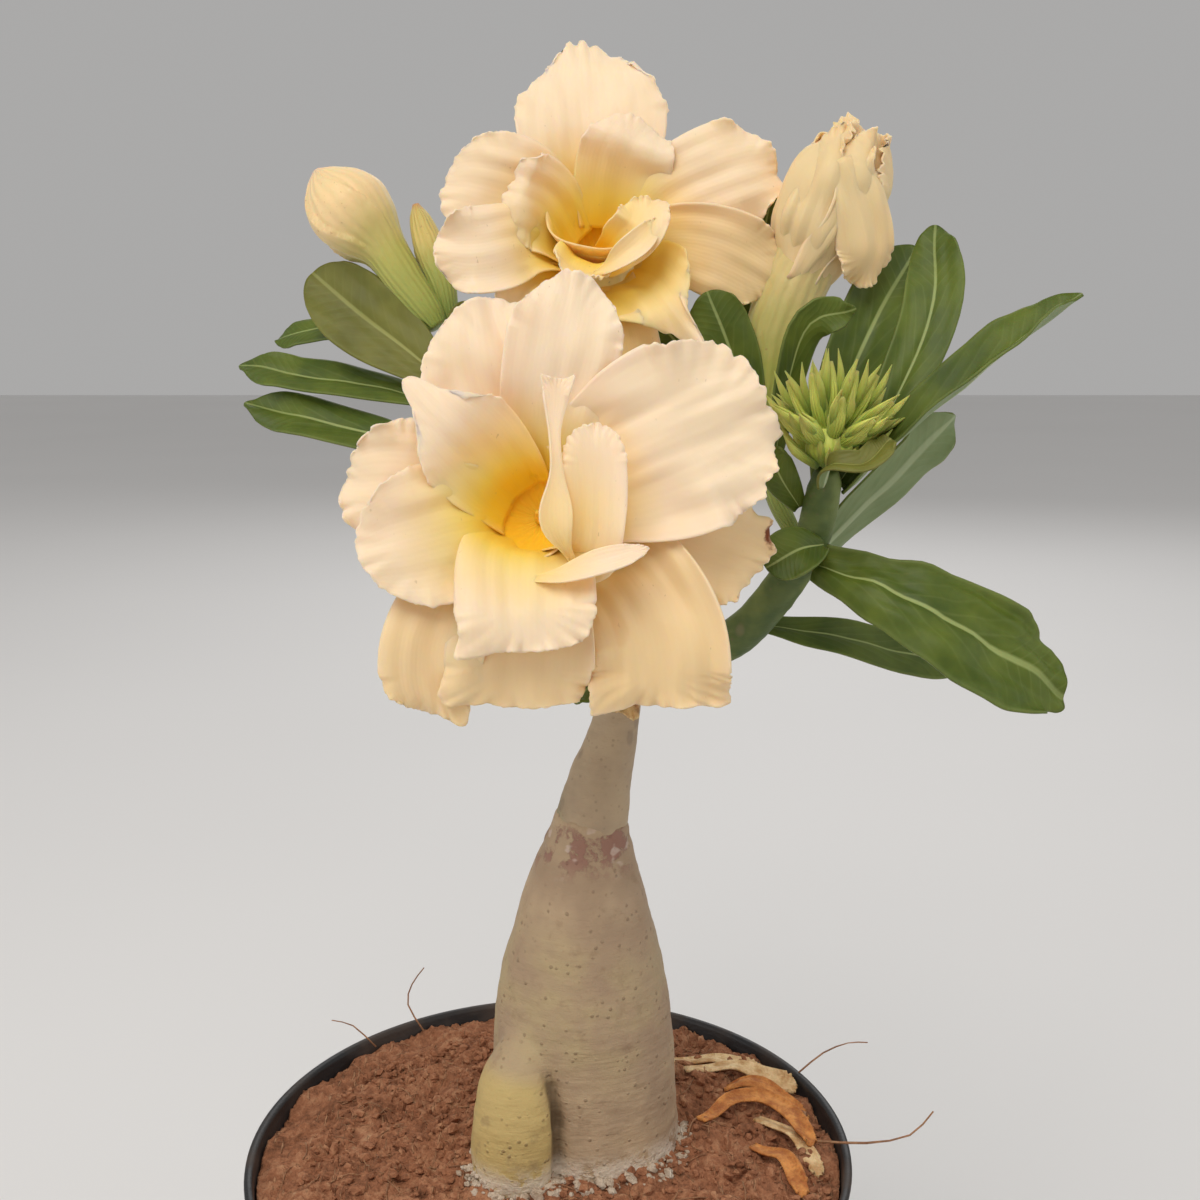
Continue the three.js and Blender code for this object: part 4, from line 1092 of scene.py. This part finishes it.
FRONT_PETALS = {
    "top_left": dict(tip=(-8.6, 36, 1), half=13.5, cap=14, pleat=0.25, under=1.6),
    "top_right": dict(tip=(8.6, 39, 4), half=10, cap=12, phase=1, pleat=0.25),
    "right": dict(
        tip=(41.2, 17, 4), half=16.8, cap=16, round_end=0.95, wave=1.8, waves=6, frill=0.8, pleat=0.22,
        points=[(1.8, -0.3, 0.08), (1.2, 0.75, 0.1)], warm=0.05, notch=0.07, grid=60, crumple=1.1,
    ),
    "right_low": dict(
        tip=(40.5, -8, -5), half=10.5, cap=10, points=[(2.4, 0.7, 0.14), (1.4, 0.2, 0.1)], wave=1.2,
        scorch=((40.5, -3.5, -6.5), 5.5), warm=0.6, frill=0.6, under=1.8,
    ),
    "low_right": dict(
        tip=(22.5, -34.5, 3), half=12.4, foot=9, cap=7, round_end=0.3, wave=1.6, frill=0.5, pleat=0.25,
        points=[(1.8, 0.75, 0.2), (1.2, -0.7, 0.2)], warm=0.65, grid=56, crumple=1.3, under=2,
        line=[(5.6, -4.2, -6.5), (15, -10.6, 1.4), (21.6, -22, 5.6), (22.5, -34.5, 3)],
    ),
    "bottom": dict(
        tip=(-2.5, -34, 1), half=13, cap=8, round_end=0.7, points=[(2.4, -0.9, 0.25)], warm=0.6, pleat=0.2,
        under=1.2,
    ),
    "low_left": dict(
        tip=(-17, -35, -2), half=9, foot=7, cap=9, points=[(3, 0.45, 0.22)], warm=0.6,
        line=[(-4.6, -5, -6.5), (-11.4, -13.4, 0.6), (-16.5, -24, 2), (-17, -35, -2)],
    ),
    "left": dict(
        tip=(-33.3, 3.5, 0), half=13, cap=12, wave=1.2, frill=0.7, warm=0.1, under=1.4,
    ),
    "inner_left": dict(
        tip=(-28.6, -8, 7.5), half=12.4, cap=13, cup_end=0.025, frill=0.25, foot=7.2, warm=0.1, gold=28,
        line=[(-5.6, -1.6, -8), (-10.2, -3, 0), (-19, -5.5, 5), (-28.6, -8, 7)],
    ),
    "inner_top": dict(
        tip=(-18.2, 18.4, 8), half=9.5, cap=12, round_end=1.5, points=[(4, 0, 0.22)], frill=0.12, wave=0.5,
        foot=7.5,
    ),
    "inner_bottom": dict(
        tip=(-0.4, -24, 9), half=12, foot=11, cap=8, round_end=0.75, points=[(3.4, -0.75, 0.2)], frill=0.5,
        wave=0.8, notch=0.05, cup=0.12, cup_end=0.02, warm=0.1, pleat=0.25, curl=2,
        line=[(-1, -4, -8), (-0.8, -9, 3), (-0.6, -16, 9), (-0.4, -24, 10)],
    ),
    "inner_right": dict(
        tip=(10.4, 13.3, 12), half=5.6, foot=5, cap=7, cup=0.12, cup_end=0.07, frill=0.3, wave=0.6,
        line=[(6, -8, -3), (10.6, -7.5, 7), (11.2, 2, 11), (10.4, 13.3, 12)], notch=0.07, round_end=1.0,
    ),
    "inner_fold": dict(
        tip=(4.8, 20.5, 13), half=3.2, cap=3, round_end=-0.9, frill=0.1, wave=0.4, curl=0,
        line=[(7.4, -9.6, 6), (4.9, -3, 10.6), (4.7, 6, 12), (4.3, 13, 12.6), (4.8, 20.5, 13)], cup=0.2,
        cup_end=0.2, widths=fishtail, notch=0.02, crumple=0.6,
    ),
    "inner_lip": dict(
        tip=(19.6, -7, 12), half=2.6, cap=4, cup=0.16, cup_end=0.16, frill=0.08, wave=0.2, curl=0,
        line=[(-1, -12.8, 5), (6, -11.2, 10.5), (13, -9, 13.2), (20, -7, 12.5)], notch=0.01, crumple=0.5,
        face=turn_into(FRONT, (0.1, 0.6, 0.8)), face_end=turn_into(FRONT, (0.1, 0.6, 0.8)),
        widths=lambda t: 0.3 + 2.2 * math.sin(math.pi * t ** 1.6) ** 0.8,
    ),
}
grow_petals(FRONT, "front", FRONT_PETALS)

# %% [markdown]
# ## The back flower
# It is the same kind of flower, turned up a little and partly hidden by the front one. It is drawn by
# its own tips and widths and not copied, because no two double flowers ruffle alike.

# %% Petals of the back flower
BACK_PETALS = {
    "top": dict(
        tip=(-2.5, 35.5, 2), half=15.5, foot=9, cap=18, round_end=1.4, wave=1.2, frill=0.5, notch=0.06,
        warm=0.1,
    ),
    "left": dict(tip=(-31, 7, 1), half=13, cap=13, warm=0.15),
    "upper_right": dict(
        tip=(35.5, 11.5, 3), half=11, cap=11, wave=1.3, waves=6, points=[(2, -0.5, 0.16)], warm=0.15,
    ),
    "low_middle": dict(tip=(-15, -19, 2), half=12, cap=10, wave=0.8, warm=0.1, under=2),
    "low_left": dict(
        tip=(-30, -8, 8), half=8.5, cap=8, wave=1.6, curl=-2, warm=0.05,
        line=[(-8, -2, -5), (-14, -4, 3), (-22, -6.5, 9), (-31, -6.5, 9.5)],
    ),
    "low_right": dict(
        tip=(16, -21.5, 4), half=10.5, foot=8, cap=14, round_end=1.7, points=[(5.5, 0.12, 0.14)], warm=0.2,
        gold=34,
    ),
    "far_right": dict(tip=(35, -9, -3), half=9, cap=9, warm=0.7),
    "lowest": dict(tip=(7, -25, -4), half=6, foot=5, cap=5, warm=0.8, under=3),
    "inner_top": dict(
        tip=(9, 19, 5), half=9.5, cap=10, warm=0.1, crumple=0.4, frill=0.2, curl=0.5, gold=24,
    ),
    "inner_left": dict(tip=(-18, 4.5, 6), half=9.5, cap=8, cup_end=0.03, warm=0.1, gold=23),
    "inner_right": dict(
        tip=(10, 2.5, 9), half=5.4, foot=3.5, cap=5, cup=0.14, cup_end=0.12, wave=0.6,
        points=[(1.4, -0.5, 0.3)], line=[(1.5, -4.5, -3), (4.5, -5.5, 5), (8, -2.5, 9.5), (10, 3, 9)],
    ),
    "inner_low": dict(
        tip=(-3.6, -11, 7), half=6.8, foot=5, cap=6, cup=0.15, cup_end=0.12, wave=0.6,
        line=[(-1.5, -4, -5), (-2.6, -8, 2), (-3.2, -10, 5.5), (-3.6, -11.6, 9)],
    ),
    "inner_curl": dict(
        tip=(4, -7, 8), half=3, foot=2, cap=3, cup=0.2, cup_end=0.2, wave=0.3, curl=0,
        line=[(-1, -10.5, 6), (3, -9, 9.5), (7.5, -6, 11), (11.5, -1, 9.5)],
        face=turn_into(BACK, (-0.4, 0.5, 0.8)),
        widths=lambda t: 0.4 + 2.2 * math.sin(math.pi * t ** 1.2) ** 0.8,
    ),
}
grow_petals(BACK, "back", BACK_PETALS)


# %% [markdown]
# ## Tubes and sepals
# Behind the petals is a tube that narrows to a stalk, with five pointed sepals round its foot. Its
# mouth is deep gold inside. It is a limb whose closed end is drawn back down as a chain of rings,
# because a solid end looked like a ball in the throat.


# %% Funnel tubes
def bent_line(start, bend, end, t):
    return Vector(start) * (1 - t) ** 2 + Vector(bend) * 2 * t * (1 - t) + Vector(end) * t * t


def flower_tube(flower, name, node, start, bend):
    end = Vector(flower["at"]) + turn_into(flower, (0, 0, -2))

    def spot(t, radius):
        return (*bent_line(start, bend, end, t), radius)

    # Each pair is a share of the way along the tube, and a radius.
    outside = [
        (0, 1.5), (0.1, 1.9), (0.15, 3.1), (0.26, 3.4), (0.34, 3.1), (0.5, 3.8), (0.68, 5.4), (0.85, 7),
        (0.97, 8.6), (1.04, 10.6),
    ]
    bm = bmesh.new()
    sections = [spot(t, r) for t, r in outside]
    cap = limb_mesh(bm, sections, sides=60, swell=lambda angle, t: 1 + 0.03 * math.cos(5 * angle))
    inner = [(1.0, 9.2), (0.95, 7.7), (0.91, 6.4), (0.87, 5), (0.84, 3.4), (0.82, 1.4)]
    hollow(bm, cap, 0.4, [(bent_line(start, bend, end, t), r) for t, r in inner])
    settle(name, bm, [TUBE], [node])
    way = (bent_line(start, bend, end, 0.2) - bent_line(start, bend, end, 0.1)).normalized()
    across = way.orthogonal().normalized()
    for k in range(5):
        out = Matrix.Rotation(k * 2 * math.pi / 5, 3, way) @ across
        foot, rise = bent_line(start, bend, end, 0.12), bent_line(start, bend, end, 0.38)
        line = [foot + out * 2.4, foot.lerp(rise, 0.4) + out * 3.9, rise + out * 4.0]
        bm = sheet_mesh(line, 1.7, out, foot=1.5, cap=4.5, cup=-0.3, points=[(1, 0, 0.3)], grid=10)
        thicken(settle(f"{name}_sepal_{k + 1}", bm, [YOUNG_TOP]), SEPAL_THICKNESS)
    return spot


front_spot = flower_tube(FRONT, "front_tube", "front_flower_tube", (12.8, 1.4, 244.8), (4, -13, 249.6))
flower_tube(BACK, "back_tube", "back_flower_tube", (12.1, 9.8, 259), (11, 36, 283))

# %% [markdown]
# ## Stamens
# The five stamens of a desert rose lean together into a slim cone deep in the throat. Only its tip
# can be seen, so one small limb does for all five.

# %% Stamens
bm = bmesh.new()
limb_mesh(
    bm, [front_spot(0.79, 1.0), front_spot(0.83, 1.4), front_spot(0.87, 1.0), front_spot(0.91, 0.25)],
    sides=20,
)
settle("front_stamen_cone", bm, [STAMEN], ["front_stamens"])
print("tubes: 2, each with 5 sepals")

# %% [markdown]
# ## Buds
# In a desert rose bud the petals are wound round each other, so the head shows slanting overlaps. A
# swelling that steps once for each petal, and shifts along the limb, gives those.


# %% Wound buds
def wound(petals, twist, step, start=0.35):
    """A swelling with one step for each wound petal, which turns along the bud and begins at start."""
    def swell(angle, t):
        turn = (angle / (2 * math.pi) * petals + twist * t) % 1
        strength = min(max((t - start) / 0.2, 0), 1) * (1 if t < 0.97 else 0.4)
        return 1 + strength * step * (turn ** 1.6 - 0.4)

    return swell


LEFT_BUD = [
    (-24.2, 35, 288.6, 2.2), (-26.5, 35.8, 292, 3.4), (-31, 37, 298, 4.2), (-35.6, 38, 304.8, 5),
    (-39.5, 39, 309, 7.6), (-43.5, 40, 313, 8.8), (-47, 41, 317, 7), (-49.4, 41.6, 320, 3.6),
    (-50.6, 42, 321.6, 1),
]
SMALL_BUD = [
    (-21.4, 36.6, 290, 1.6), (-23.4, 37.4, 298, 3), (-26, 38.4, 305, 3.4), (-28, 39.4, 311, 2.4),
    (-29, 40, 314.5, 0.7),
]
bm = bmesh.new()
limb_mesh(bm, LEFT_BUD, sides=110, steps=9, swell=wound(5, 1.3, 0.16))
settle("large_bud", bm, [BUD], ["left_bud"])
bm = bmesh.new()
limb_mesh(bm, SMALL_BUD, sides=60, steps=9, swell=wound(5, 1.0, 0.12))
settle("small_bud", bm, [SMALL_BUD_FINISH], ["small_bud"])
print("large bud length in mm:", round(math.dist(LEFT_BUD[0][:3], LEFT_BUD[-1][:3])))

# %% [markdown]
# ## The spent bloom
# When the flower is over, its petals close and wrinkle on a tube that stays yellow-green. A single
# carved limb looked like a club, so it is only the core here, and seven thin petals wrap round it.

# %% Spent bloom
SPENT_BLOOM = [
    (48.4, -8.6, 250, 1.6), (45.6, -3.4, 256, 2), (44, 2, 263, 2.1), (43.8, 5.4, 270, 2.6),
    (44.6, 8, 279, 4.8), (46, 9.4, 288, 6.2), (49, 10, 296, 6.6), (51.4, 10, 302, 6.6),
    (53.6, 10, 308, 6.8), (56.6, 10, 315, 6.8), (59, 10, 321, 5.4), (60.6, 10, 325, 3),
    (61.4, 10, 327, 1.4),
]
bm = bmesh.new()
limb_mesh(bm, SPENT_BLOOM, sides=130, steps=9, swell=wound(6, 0.6, 0.08, 0.6))
along_paint, scorch_paint = bm.verts.layers.float["along"], bm.verts.layers.float["scorch"]
for v in bm.verts:
    loose = min(max((v[along_paint] - 0.55) / 0.2, 0), 1)
    long_fold = noise.noise(Vector((v.co.x * 0.3, v.co.y * 0.3, v.co.z * 0.1)))
    wrinkle = long_fold + 0.5 * noise.noise(v.co * 0.55)
    v.co += v.normal * loose * wrinkle * 0.7
    v[scorch_paint] = max(0, 1 - (v.co - Vector((56.5, -1, 319))).length / 1.8)
settle("spent_bloom_head", bm, [SPENT], ["spent_bloom"])
axis_foot, axis_tip = Vector((49.6, 9.8, 297)), Vector((61.4, 10, 326))
axis = (axis_tip - axis_foot).normalized()
for k in range(6):
    out = Matrix.Rotation(k * 2 * math.pi / 6 + 0.5, 3, axis) @ axis.orthogonal().normalized()
    line = [
        axis_foot + out * 4.4, axis_foot.lerp(axis_tip, 0.35) + out * 8.4,
        axis_foot.lerp(axis_tip, 0.7) + out * 9.4, axis_tip + axis * (k % 3) + out * (3.5 + k % 2),
    ]
    bm = sheet_mesh(
        line, 8 + k % 3, out, foot=7, cap=10, round_end=1.1, cup=-0.14, cup_end=-0.11, wave=0.8, frill=0.6,
        notch=0.07, crumple=1.9, pleat=0.4, points=[(1.2, 0.5 - 0.2 * k, 0.2)], grid=36, seed=7.3 * k,
        warm=0.7, scorch=(Vector((56.2, 0, 319.5)), 1.9),
    )
    thicken(settle(f"spent_petal_{k + 1}", bm, [PETAL]), PETAL_THICKNESS)
bm = sheet_mesh(
    [(57.5, 1.5, 321), (61, 0.6, 313), (62.8, 1.6, 304), (61.4, 4, 297)], 6.4, (0.4, -0.9, 0.1), foot=5,
    cap=7, round_end=1.0, cup=-0.12, wave=1.1, frill=0.5, crumple=1.4, pleat=0.3, notch=0.06, grid=36,
    seed=4.4, warm=0.7,
)
thicken(settle("spent_petal_hanging", bm, [PETAL]), PETAL_THICKNESS)
SPENT_PETALS = [name for name in made if name.startswith("spent_petal")]
print("spent bloom:", len(SPENT_PETALS), "petals")

# %% [markdown]
# ## The cluster of young buds
# Young buds stand close together on the right branch, each a small pointed cone with green sepals.
# They grow from one knob, so they are gathered into one piece, from one loop over their tips.

# %% Cluster of young buds
CLUSTER_FOOT = Vector((53, -18, 264.6))
BUD_START = 2.5
YOUNG_BUD_RADII = [(0.1, 0.9), (0.35, 1.3), (0.58, 1.7), (0.8, 1.2), (1.0, 0.35)]
CLUSTER_TIPS = [
    (0, 1, 19), (-4, -3, 17), (4, -4, 17.5), (-8, 0, 15.5), (8.5, 0, 16.5), (-1, 6, 17), (1, -8, 13),
    (-10.5, -4, 10.5), (10.5, -5, 12), (-6.5, -8, 9.5), (6.5, -9, 9), (-9, 5, 11.5), (9, 6, 12.5),
    (11.5, 1, 8),
]


def up_bud(tip, t, radius):
    """A section of the bud with that tip, t of the way up it."""
    dx, dy, dz = tip
    x, y, z = CLUSTER_FOOT
    return x + dx * t, y + dy * t, z + BUD_START + (dz - BUD_START) * t, radius


bm = bmesh.new()
x, y, z = CLUSTER_FOOT
limb_mesh(bm, [(x, y, z, 2.4), (x, y, z + 3, 4.4), (x, y, z + 7, 3)], sides=24)
for k, bud_tip in enumerate(CLUSTER_TIPS):
    bud = bmesh.new()
    sections = [up_bud(bud_tip, t, radius) for t, radius in YOUNG_BUD_RADII]
    limb_mesh(bud, sections, sides=15, steps=4, swell=wound(5, 1.0, 0.25, 0.3))
    gather(bm, bud)
    for j in range(3):
        angle = j * 2 * math.pi / 3 + k
        start, tip = Vector(up_bud(bud_tip, 0.5, 0)[:3]), Vector(up_bud(bud_tip, 1.14, 0)[:3])
        out = Vector((math.cos(angle), math.sin(angle), 0))
        sepal = bmesh.new()
        middle = start.lerp(tip, 0.5)
        sections = [(*(start + out * 1.1), 0.5), (*(middle + out * 1.9), 0.75), (*(tip + out * 1.3), 0.06)]
        limb_mesh(sepal, sections, sides=6, steps=4)
        gather(bm, sepal)
for k in range(16):
    angle = k * 2.4
    out = Vector((math.cos(angle), math.sin(angle), 0)) * (3 + 0.5 * (k % 7))
    bract = bmesh.new()
    foot, tip = CLUSTER_FOOT + out * 0.5, CLUSTER_FOOT + out * 1.9 + Vector((0, 0, 4 + k % 5))
    middle = foot.lerp(tip, 0.5) + out * 0.2
    limb_mesh(bract, [(*foot, 0.7), (*middle, 0.8), (*tip, 0.06)], sides=7, steps=4)
    gather(bm, bract)
bmesh.ops.recalc_face_normals(bm, faces=bm.faces)
settle("young_bud_cluster", bm, [YOUNG_BUD], ["bud_cluster"])
print("young buds:", len(CLUSTER_TIPS))

# %% [markdown]
# ## Leaves
# Leaves are leathery sheets, widest near the tip, with the midrib sunk into the upper side. Each is
# drawn by its midrib, its half width, and the way its upper side faces.

# %% Leaf shapes
LEAVES = {
    "right_leaf_big": dict(
        line=[(52, -14.5, 245.5), (66, -24, 241.5), (82, -27, 233), (96.5, -25, 223.2)], half=10.2,
        foot=2.4, cap=13, face=(0.3, -0.8, 0.62), wave=2.0, waves=5, points=[(2.5, -0.15, 0.2)],
        crumple=1.6, grid=40,
    ),
    "right_leaf_low": dict(
        line=[(42.4, -5.4, 231.6), (57, -3, 229), (72, 1, 224.5), (86, 5, 220.8)], half=5.4, foot=1.6,
        cap=11, face=(0.1, -0.6, 0.8), points=[(1.5, 0, 0.25)],
    ),
    "right_leaf_folded": dict(
        line=[(56.5, -14, 259.5), (67, -18, 271), (81, -20, 283), (96, -20, 294.6)], half=6.0, foot=2.2,
        cap=14, face=(-0.55, -0.2, 0.8), fold=0.6, points=[(1.5, 0, 0.25)],
    ),
    "right_leaf_pale": dict(
        line=[(47, -5.6, 238), (58, 1, 249), (70, 4, 260), (81.5, 5, 272)], half=6.4, foot=2, cap=12,
        face=(-0.35, 0.8, 0.3), wave=1.0,
    ),
    "right_leaf_upright": dict(
        line=[(56, -13.5, 261), (66, -11, 276), (74, -4, 293), (75.8, 5, 307.8)], half=5.6, foot=2, cap=13,
        face=(-0.45, -1, 0.1), fold=0.15, points=[(1, 0, 0.25)],
    ),
    "right_leaf_behind": dict(
        line=[(53.4, -9.5, 258), (57, 0, 272), (65, 7, 290), (74, 14, 304)], half=7.4, foot=2.2, cap=12,
        face=(0.1, -1, 0.25), fold=0.1, points=[(1, 0, 0.25)],
    ),
    "right_leaf_small": dict(
        line=[(53, -17.5, 250), (47.5, -21.5, 249.5), (41.5, -22.5, 246)], half=5, foot=1.4, cap=5,
        face=(-0.1, -0.9, 0.4), cup=0.08,
    ),
    "right_leaf_curled": dict(
        line=[(51, -20.5, 261.5), (52, -26, 266), (58, -27.5, 266), (63, -25, 270)], half=2.8, foot=1,
        cap=3, face=(-0.3, -0.5, 0.9), fold=0.3,
    ),
    "right_leaf_hooked": dict(
        line=[(45, -2.6, 262.5), (46.4, -5, 276), (50, -7, 289.5), (58, -7.5, 292.6)], half=3.6, foot=1.2,
        cap=6, face=(0.3, -1, 0.1), points=[(1, 0, 0.25)],
    ),
    "right_leaf_dark": dict(
        line=[(43.4, -0.5, 262), (40, 1, 271), (37, 2, 283), (31.5, 2, 296)], half=6, foot=2, cap=8,
        face=(0.2, -1, 0.1),
    ),
    "right_leaf_inner": dict(
        line=[(42.6, 3.6, 265), (36, 8, 272), (30, 11, 281), (22, 13, 291)], half=5, foot=1.8, cap=7,
        face=(0.2, -1, 0.3),
    ),
    "right_leaf_top": dict(
        line=[(43.6, 8.6, 273), (41, 14, 287), (43, 17, 302), (45.5, 17, 316)], half=3.6, foot=1.4, cap=7,
        face=(0, -1, 0.1),
    ),
    "right_leaf_under": dict(
        line=[(48.6, -13.5, 256), (44.6, -17.5, 262), (41.5, -18, 268)], half=3.2, foot=1.2, cap=4,
        face=(-0.3, -1, 0.1),
    ),
    "left_leaf_broad": dict(
        line=[(-21.5, 28, 276.5), (-31, 32, 284), (-42, 36, 292), (-52, 40, 300)], half=8.8, foot=2.2,
        cap=14, face=(-0.4, -0.8, 0.5), cup=0.03,
    ),
    "left_leaf_back": dict(
        line=[(-25, 34, 281.6), (-38, 40, 286), (-51, 47, 288), (-63, 52, 285)], half=4.6, foot=1.6, cap=9,
        face=(-0.2, -0.6, 0.8),
    ),
    "left_leaf_middle": dict(
        line=[(-19.5, 27, 271.5), (-34, 33, 275), (-52, 40, 277.5), (-69, 45, 279.8)], half=5.4, foot=1.8,
        cap=12, face=(-0.1, -0.7, 0.8), points=[(1.5, 0, 0.25)],
    ),
    "left_leaf_low": dict(
        line=[(-12.4, 21.4, 266.5), (-30, 28, 264.5), (-49, 35, 268), (-67, 40, 271.6)], half=5.6, foot=1.8,
        cap=12, face=(-0.1, -0.7, 0.7), points=[(1.5, 0, 0.25)],
    ),
    "left_leaf_inner": dict(
        line=[(-13.5, 28, 274), (-16, 32, 284), (-18.5, 34, 294)], half=5, foot=1.6, cap=7,
        face=(0.2, -1, 0.2),
    ),
    "centre_leaf": dict(
        line=[(14.2, -3.2, 228.4), (10.8, -11.6, 224.4), (6.6, -19.5, 219.6)], half=3.2, foot=1.0, cap=5,
        face=(-0.3, -0.8, 0.5),
    ),
}
YOUNG = {"left_leaf_broad", "right_leaf_curled", "left_leaf_inner"}
for k, (name, shape) in enumerate(LEAVES.items()):
    settings = {
        "crumple": 0.7, "rib": 0.45, "wave": 0.5, "round_end": 0.98, "grid": 30, "seed": 3.1 * k, **shape,
    }
    bm = sheet_mesh(**settings)
    upper = YOUNG_TOP if name in YOUNG else LEAF_TOP
    thicken(settle(name + "_blade", bm, [upper, LEAF_UNDER], [name]), LEAF_THICKNESS, 1)
print("leaves:", len(LEAVES))

# %% [markdown]
# ## The withered flower
# One dry brown flower hangs at the fork, shrivelled to a small rolled petal. One short sheet with a
# strong cup and a crumpled end gives it.

# %% Withered flower at the fork
bm = sheet_mesh(
    [(15.8, -4.4, 225.4), (15.6, -9.5, 221), (14.6, -12, 215.4)], 4, (0, -1, 0.4), foot=1.4, cap=3,
    round_end=0.4, cup=0.16, wave=1.2, points=[(1.5, 0.6, 0.3)], crumple=1.6, frill=0.5, notch=0.1, grid=24,
)
thicken(settle("withered_petal", bm, [DRY_PETAL], ["withered_flower"]), PETAL_THICKNESS)


# %% [markdown]
# ## Floor
# A plain pale floor, wide enough that its edge never shows.


# %% Pale floor
def floor_finish():
    paint = Paint("pale_floor", Roughness=0.75)
    tone = paint.grain(0.6, 2)
    base = paint.mix(tone, (0.74, 0.73, 0.72), (0.8, 0.79, 0.78))
    return paint.drive(Base_Color=base)


bm = bmesh.new()
bmesh.ops.create_grid(bm, x_segments=1, y_segments=1, size=4)
floor_mesh = bpy.data.meshes.new("floor")
bm.to_mesh(floor_mesh)
bm.free()
floor_mesh.materials.append(floor_finish())
floor = bpy.data.objects.new("floor", floor_mesh)
bpy.context.scene.collection.objects.link(floor)
